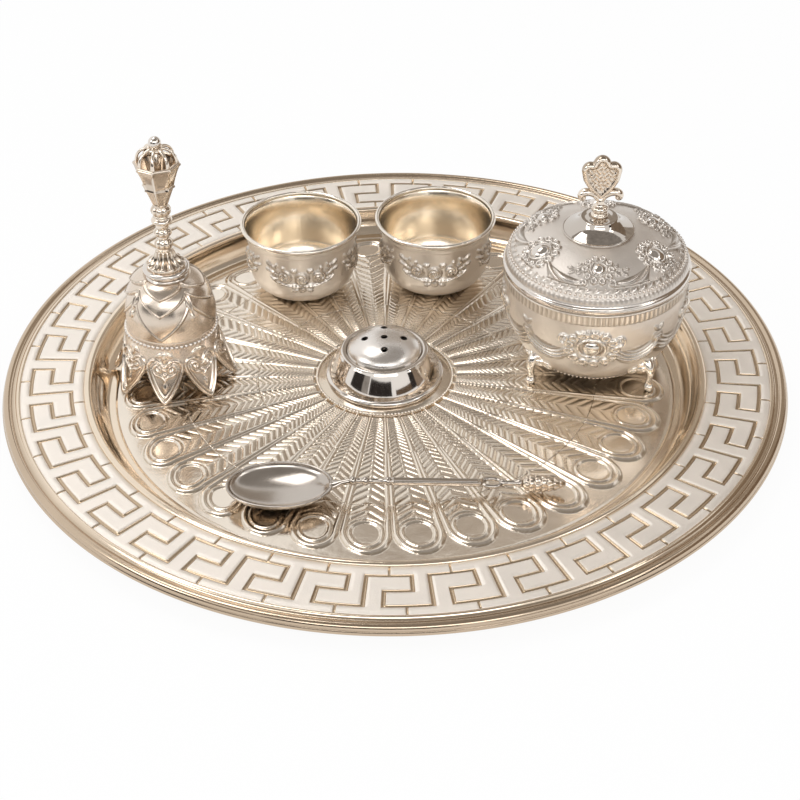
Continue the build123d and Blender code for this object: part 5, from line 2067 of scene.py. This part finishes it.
@dataclass
class Spoon:
    """Spoon with a knopped handle, a flat bar, an open link and a flower bud."""

    place: Place = Place(0.0, -70.6525, FLOOR_TOP, 0.5)
    bowl_x: float = -41.8
    bowl_l: float = 38.6
    bowl_w: float = 26.4
    depth: float = 5.4
    rim_z: float = 5.7
    wall: float = 1.1
    stem_x: float = -13.5
    axis_z: float = 6.5
    dip: float = 2.42
    knops: Row = (-15.5, -11.0, -3.0)
    bar_x: float = -3.0
    link_x: float = 30.2
    tail_x: float = 38.2
    bud_x: float = 45.2
    bud_l: float = 15.6
    bud_r: float = 3.5
    body: str = "spoon"

    def build(self) -> None:
        """Build the bowl, the handle and the bud."""
        settle(self.bowl(), self.body, Slot.POLISHED, "spoon_bowl")
        settle(self.handle(), self.body, Slot.POLISHED, "spoon_handle")
        settle(self.bud(), self.body, Slot.POLISHED, "spoon_bud")

    def bowl(self) -> Piece:
        """Shallow bowl with a rounded rim.

        Returns:
            The piece.
        """
        thin = self.wall / self.depth
        profile = joined(
            arc((0.0, 0.0), 1.0, 1.0, -90, -2, 30),
            [(1.0, 0.0), (0.992, 0.03), (0.975, 0.04), (0.955, 0.03)],
            arc((0.0, 0.0), 0.945, 1.0 - thin, 0, -90, 28),
        )
        profile[0, 0], profile[-1, 0] = 0.0, 0.0
        patch = turned(profile, full_turn(96))
        points = patch.points * [self.bowl_l / 2, self.bowl_w / 2, self.depth]
        patch.points = points + [self.bowl_x, 0.0, self.rim_z]
        # The darker tone all over the bowl is a painted dark reflection.
        return solid("spoon_oval_bowl", [patch.toned(0.5, 0.45)], MIRROR, self.place)

    def dipped(self, points: Array) -> Array:
        """Points tilted about the neck's end, so that the bud lies on the floor.

        Args:
            points: Points along the level handle, with its axis at height 0.

        Returns:
            The tilted points.
        """
        c, s = np.cos(np.radians(self.dip)), np.sin(np.radians(self.dip))
        x = points[..., 0] - self.stem_x
        z = points[..., 2]
        return grid(self.stem_x + c * x + s * z, points[..., 1], self.axis_z - s * x + c * z)

    def lying(self, profile: Array, sides: int, relief: Relief | None = None) -> Patch:
        """Turned form laid along the handle.

        Args:
            profile: Radius, and distance along the spoon.
            sides: Points round it.
            relief: Relief on it.

        Returns:
            The patch in its place on the spoon.
        """
        patch = turned(profile, full_turn(sides), relief)
        x, y, z = (patch.points[..., k] for k in range(3))
        patch.points = self.dipped(grid(z, y, -x))
        return patch

    def handle(self) -> Piece:
        """Handle from the bowl's edge to the bud.

        Returns:
            The piece.
        """
        edge = self.bowl_x + self.bowl_l / 2
        neck = (self.stem_x + 0.6, 0.0, self.axis_z)
        path = bend([(edge - 1.4, 0.0, 5.0), (edge + 2.0, 0.0, 4.9), (-18.4, 0.0, 6.6), neck], 22)
        share = np.linspace(0.0, 1.0, len(path))
        wide = 2.5 - 1.5 * smooth(share, 0.0, 0.55)
        patches = [swept(path, wide, 1.25 - 0.25 * share, (0.0, 1.0, 0.0), 16)]
        rows = [(0.0, self.knops[0] - 1.4), (0.95, self.knops[0] - 1.4)]
        for knop in self.knops:
            rows += [(1.05, knop - 1.1), (1.5, knop - 0.75), (1.72, knop), (1.5, knop + 0.75), (1.05, knop + 1.1)]
        rows += [(1.0, self.bar_x + 1.6), (0.0, self.bar_x + 1.7)]
        patches.append(self.lying(np.array(rows), 28))
        bar = grid(np.linspace(self.bar_x, self.link_x + 0.9, 16), 0.0, 0.0)
        patches.append(swept(self.dipped(bar), np.full(16, 1.45), np.full(16, 0.95), (0.0, 1.0, 0.0), 24, 0.35))
        patches.append(self.link())
        rows = [(0.0, self.tail_x - 1.2), (1.2, self.tail_x - 1.1), (1.5, self.tail_x), (1.05, self.tail_x + 0.8)]
        rows += [(1.0, self.tail_x + 4.4), (1.5, self.bud_x - 1.4), (1.6, self.bud_x - 0.9), (1.2, self.bud_x)]
        patches.append(self.lying(np.array([*rows, (0.0, self.bud_x + 0.4)]), 24))
        # The darker tone all over the handle is painted shade.
        return solid("spoon_knopped_handle", [patch.toned(0.5, 0.8) for patch in patches], MIRROR, self.place)

    def link(self) -> Patch:
        """Open oval link in the handle.

        Returns:
            The patch.
        """
        turn = full_turn(48)
        middle = 0.5 * (self.link_x + self.tail_x)
        x = middle + 3.25 * np.sign(np.cos(turn)) * np.abs(np.cos(turn)) ** 0.85
        y = 2.3 * np.sin(turn)
        out = grid(np.cos(turn), np.sin(turn), 0.0)
        round_turn = full_turn(12)
        path = grid(x, y, 0.0)
        points = path[:, None] + 0.8 * np.cos(round_turn)[None, :, None] * out[:, None]
        points[..., 2] += 0.8 * np.sin(round_turn)[None, :]
        return Patch(self.dipped(points), ring_rows=True)

    def bud(self) -> Piece:
        """Bud of small overlapping petals, flattened underneath where it lies.

        Returns:
            The piece.
        """
        start, end = self.bud_x, self.bud_x + self.bud_l
        widest = (self.bud_r - 0.3, self.bud_x + self.bud_l / 3)
        profile = even(joined(
            [(0.0, start), (1.4, start)],
            bend([(1.6, start + 0.2), (3.3, start + 1.2), widest, (2.6, end - 5.0), (0.9, end - 0.4)], 40),
            [(0.0, end)],
        ), 80)

        def petals(spot: Spot) -> Raised:
            """Rows of rounded petals set in turn.

            Args:
                spot: Places on the bud.

            Returns:
                Lift and marks.
            """
            lap = (spot.height - start) / 2.2
            row = np.floor(lap)
            turn = spot.angle * 7.0 / 2.0 + 0.5 * np.pi * np.mod(row, 2.0)
            curve = np.abs(np.cos(turn)) ** 0.6
            share = lap - row
            bump = curve * (1.0 - share) ** 0.6 * smooth(share, 0.0, 0.12)
            end_fade = smooth(spot.height, start + 0.6, start + 1.6) * (1.0 - smooth(spot.height, end - 2.2, end - 0.6))
            return 0.62 * bump * end_fade, {"relief": unit(0.3 + 0.9 * bump)}

        patch = self.lying(profile, 96, petals)
        patch.points[..., 2] = highest(patch.points[..., 2], 0.3)
        return solid("spoon_flower_bud", [patch], SILVER, self.place)


# Plain hidden parts, light and camera


@dataclass(frozen=True)
class HiddenParts:
    """Nodes of the frame that keep their own shape."""

    nodes: tuple[str, ...] = ("bell_eye_screw", "clapper_link", "clapper_ball", "lid_flange", "lid_screw")

    def dress(self) -> None:
        """Give each node the plain steel finish."""
        for name in self.nodes:
            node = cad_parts[name]
            node.data.materials.clear()
            node.data.materials.append(STEEL.material())
            LOG.info("%s keeps its own shape", name)


class Tone(Enum):
    """Tones of the cards that stand round the set, and of nothing else."""

    DARK = (0.035, 0.030, 0.028)
    BROWN = (0.13, 0.09, 0.06)
    TAN = (0.26, 0.20, 0.15)
    SHADE = (0.32, 0.30, 0.28)
    DUSK = (0.42, 0.37, 0.32)


@dataclass(frozen=True)
class Card:
    """Studio card that only reflections see: bearings in degrees, heights and distances in metres."""

    name: str
    tone: Tone
    start: float
    end: float
    low: float
    high: float
    distance: float = 1.0
    top_distance: float = 1.0


@dataclass(frozen=True)
class Lamp:
    """Soft lamp that looks at the set: its spot and its size in metres, and its power in watts."""

    name: str
    spot: Triple
    size: Pair
    power: float


@dataclass
class Studio:
    """White floor, white surroundings, soft lamps, reflection cards and the camera."""

    lens: float = 87.7
    eye: Triple = (0.0, -0.6165, 0.441)
    pitch: float = 36.07
    yaw: float = 0.17
    roll: float = -0.61
    surround: float = 0.66
    floor_half: float = 3.0
    floor_z: float = -0.0003
    floor_glow: float = 0.93
    card_patch: float = 140.0
    card_shares: Pair = (0.55, 1.45)
    cards: tuple[Card, ...] = (
        Card("card_back", Tone.DUSK, 40.0, 95.0, 0.36, 1.02),
        Card("card_left_front", Tone.DARK, 196.0, 222.0, 0.10, 0.50),
        Card("card_front_left", Tone.SHADE, 222.0, 236.0, 0.10, 0.46),
        Card("card_front", Tone.DARK, 238.0, 284.0, 0.10, 0.44),
        Card("card_front_low", Tone.BROWN, 292.0, 326.0, 0.10, 0.26),
        Card("card_right_front", Tone.DARK, 326.0, 338.0, 0.10, 0.50),
        Card("card_right", Tone.TAN, -22.0, 40.0, 0.06, 0.90),
        Card("card_above", Tone.SHADE, 0.0, 360.0, 1.02, 1.25, 0.85, 0.0),
    )
    lamps: tuple[Lamp, ...] = (
        Lamp("lamp_above", (-0.30, 0.30, 0.92), (0.5, 0.3), 1.7),
        Lamp("lamp_right", (1.0, -0.30, 0.80), (0.35, 0.5), 1.6),
        Lamp("lamp_left", (-1.0, -0.35, 0.75), (0.4, 0.6), 2.2),
        Lamp("lamp_front", (0.05, -0.95, 0.80), (1.1, 0.3), 2.8),
    )

    def build(self) -> None:
        """Set up the studio."""
        self.world()
        self.floor()
        for card in self.cards:
            self.card(card)
        for lamp in self.lamps:
            self.lamp(lamp)
        self.camera()
        bpy.context.scene.view_settings.view_transform = "Standard"

    def seen(self, tree: Tree) -> Socket:
        """1 for what is seen straight, in the metal or through it, and 0 for the light that falls on matt things.

        Args:
            tree: Tree to lay the nodes in.

        Returns:
            The output that carries it.
        """
        rays = laid(tree, "ShaderNodeLightPath").outputs
        total = rays["Is Camera Ray"]
        for name in ("Is Glossy Ray", "Is Transmission Ray"):
            total = laid(tree, "ShaderNodeMath", {0: total, 1: rays[name]}, operation="MAXIMUM").outputs[0]
        return total

    def world(self) -> None:
        """White surroundings, dimmer as light on the set."""
        world = bpy.data.worlds.new("studio_white")
        bpy.context.scene.world = world
        world.use_nodes = True
        tree = world.node_tree
        back = tree.nodes["Background"].inputs
        back["Color"].default_value = (1.0, 1.0, 1.0, 1.0)
        strength = laid(tree, "ShaderNodeMix", {0: self.seen(tree), 2: self.surround, 3: 1.0})
        tree.links.new(strength.outputs[0], back["Strength"])

    def board(self, name: str, corners: list, faces: list, paint: Callable[[Tree], Socket]) -> Piece:
        """Sheet of the studio, which is no part of the set.

        Args:
            name: Name of the sheet.
            corners: Its corners, in metres.
            faces: Corner numbers of its faces.
            paint: Lays the nodes of its surface and returns their output.

        Returns:
            The sheet.
        """
        mesh = bpy.data.meshes.new(name)
        mesh.from_pydata(corners, [], faces)
        made = bpy.data.materials.new(name)
        made.use_nodes = True
        tree = made.node_tree
        tree.nodes.remove(tree.nodes["Principled BSDF"])
        tree.links.new(paint(tree), tree.nodes["Material Output"].inputs["Surface"])
        mesh.materials.append(made)
        sheet = shown(name, mesh)
        return sheet

    def floor(self) -> None:
        """Pale floor that is white to the eye and keeps a soft shadow."""

        def paper(tree: Tree) -> Socket:
            """Matt for the light, glowing for the eye.

            Args:
                tree: Tree of the floor's material.

            Returns:
                The surface.
            """
            matt = laid(tree, "ShaderNodeBsdfDiffuse", {"Color": (0.9, 0.9, 0.9, 1.0)})
            glow = laid(tree, "ShaderNodeEmission", {"Color": (1.0, 1.0, 1.0, 1.0)})
            share = laid(tree, "ShaderNodeMath", {0: self.seen(tree), 1: self.floor_glow}, operation="MULTIPLY")
            mix = {0: share.outputs[0], 1: matt.outputs[0], 2: glow.outputs[0]}
            return laid(tree, "ShaderNodeMixShader", mix).outputs[0]

        size, z = self.floor_half, self.floor_z
        corners = [(-size, -size, z), (size, -size, z), (size, size, z), (-size, size, z)]
        self.board("studio_floor", corners, [(0, 1, 2, 3)], paper)

    def card(self, card: Card) -> None:
        """Stand one curved card round the set.

        Args:
            card: The card.
        """

        def glow(tree: Tree) -> Socket:
            """Uneven glow of the card's tone.

            Args:
                tree: Tree of the card's material.

            Returns:
                The surface.
            """
            wires = Wires(tree)
            dim, lit = (tuple(share * value for value in card.tone.value) for share in self.card_shares)
            color = wires.between(wires.noise(self.card_patch), dim, lit)
            return laid(tree, "ShaderNodeEmission", {"Color": color}).outputs[0]

        turn = np.radians(np.linspace(card.start, card.end, 13))
        ring = grid(np.cos(turn), np.sin(turn))
        low = [(*spot, card.low) for spot in card.distance * ring]
        high = [(*spot, card.high) for spot in card.top_distance * ring]
        count = len(ring)
        faces = [(k, k + 1, count + k + 1, count + k) for k in range(count - 1)]
        sheet = self.board(card.name, low + high, faces, glow)
        sheet.visible_camera = False
        sheet.visible_diffuse = False
        sheet.visible_shadow = False

    def lamp(self, lamp: Lamp) -> None:
        """Hang one lamp.

        Args:
            lamp: The lamp.
        """
        light = bpy.data.lights.new(lamp.name, "AREA")
        light.shape = "RECTANGLE"
        light.size, light.size_y = lamp.size
        light.energy = lamp.power
        away = np.array(lamp.spot) / np.linalg.norm(lamp.spot)
        right = np.cross([0.0, 0.0, 1.0], away)
        right /= np.linalg.norm(right)
        shown(lamp.name, light).matrix_world = self.turned_frame(right, np.cross(away, right), away, lamp.spot)

    def turned_frame(self, right: Array, up: Array, back: Array, spot: Sequence[float]) -> Matrix:
        """Matrix of a lamp or camera from its three directions and its spot."""
        rows = [[right[k], up[k], back[k], spot[k]] for k in range(3)]
        return Matrix([*rows, [0.0, 0.0, 0.0, 1.0]])

    def camera(self) -> None:
        """Camera at the height and angle of the photograph."""
        tilt, side, roll = (np.radians(value) for value in (self.pitch, self.yaw, self.roll))
        ahead = np.array([np.sin(side) * np.cos(tilt), np.cos(side) * np.cos(tilt), -np.sin(tilt)])
        right = np.array([np.cos(side), -np.sin(side), 0.0])
        up = np.cross(right, ahead)
        right, up = np.cos(roll) * right + np.sin(roll) * up, np.cos(roll) * up - np.sin(roll) * right
        data = bpy.data.cameras.new("photo_camera")
        data.lens = self.lens
        data.sensor_width = 36.0
        data.clip_start = 0.01
        camera = shown("photo_camera", data)
        camera.matrix_world = self.turned_frame(right, up, -ahead, self.eye)
        bpy.context.scene.camera = camera


def main() -> None:
    """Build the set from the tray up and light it."""
    logging.basicConfig(level=logging.INFO, format="%(name)s: %(message)s")
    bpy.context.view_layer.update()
    for piece in (
        Tray(),
        IncenseHolder(),
        Bell(),
        Bowl("left", Place(-37.770, 71.035, FLOOR_TOP, -88.0)),
        Bowl("right", Place(17.367, 74.043, FLOOR_TOP, -92.0)),
        Box(),
        Lid(),
        Spoon(),
    ):
        piece.build()
    HiddenParts().dress()
    Studio().build()


if __name__ == "__main__":
    main()
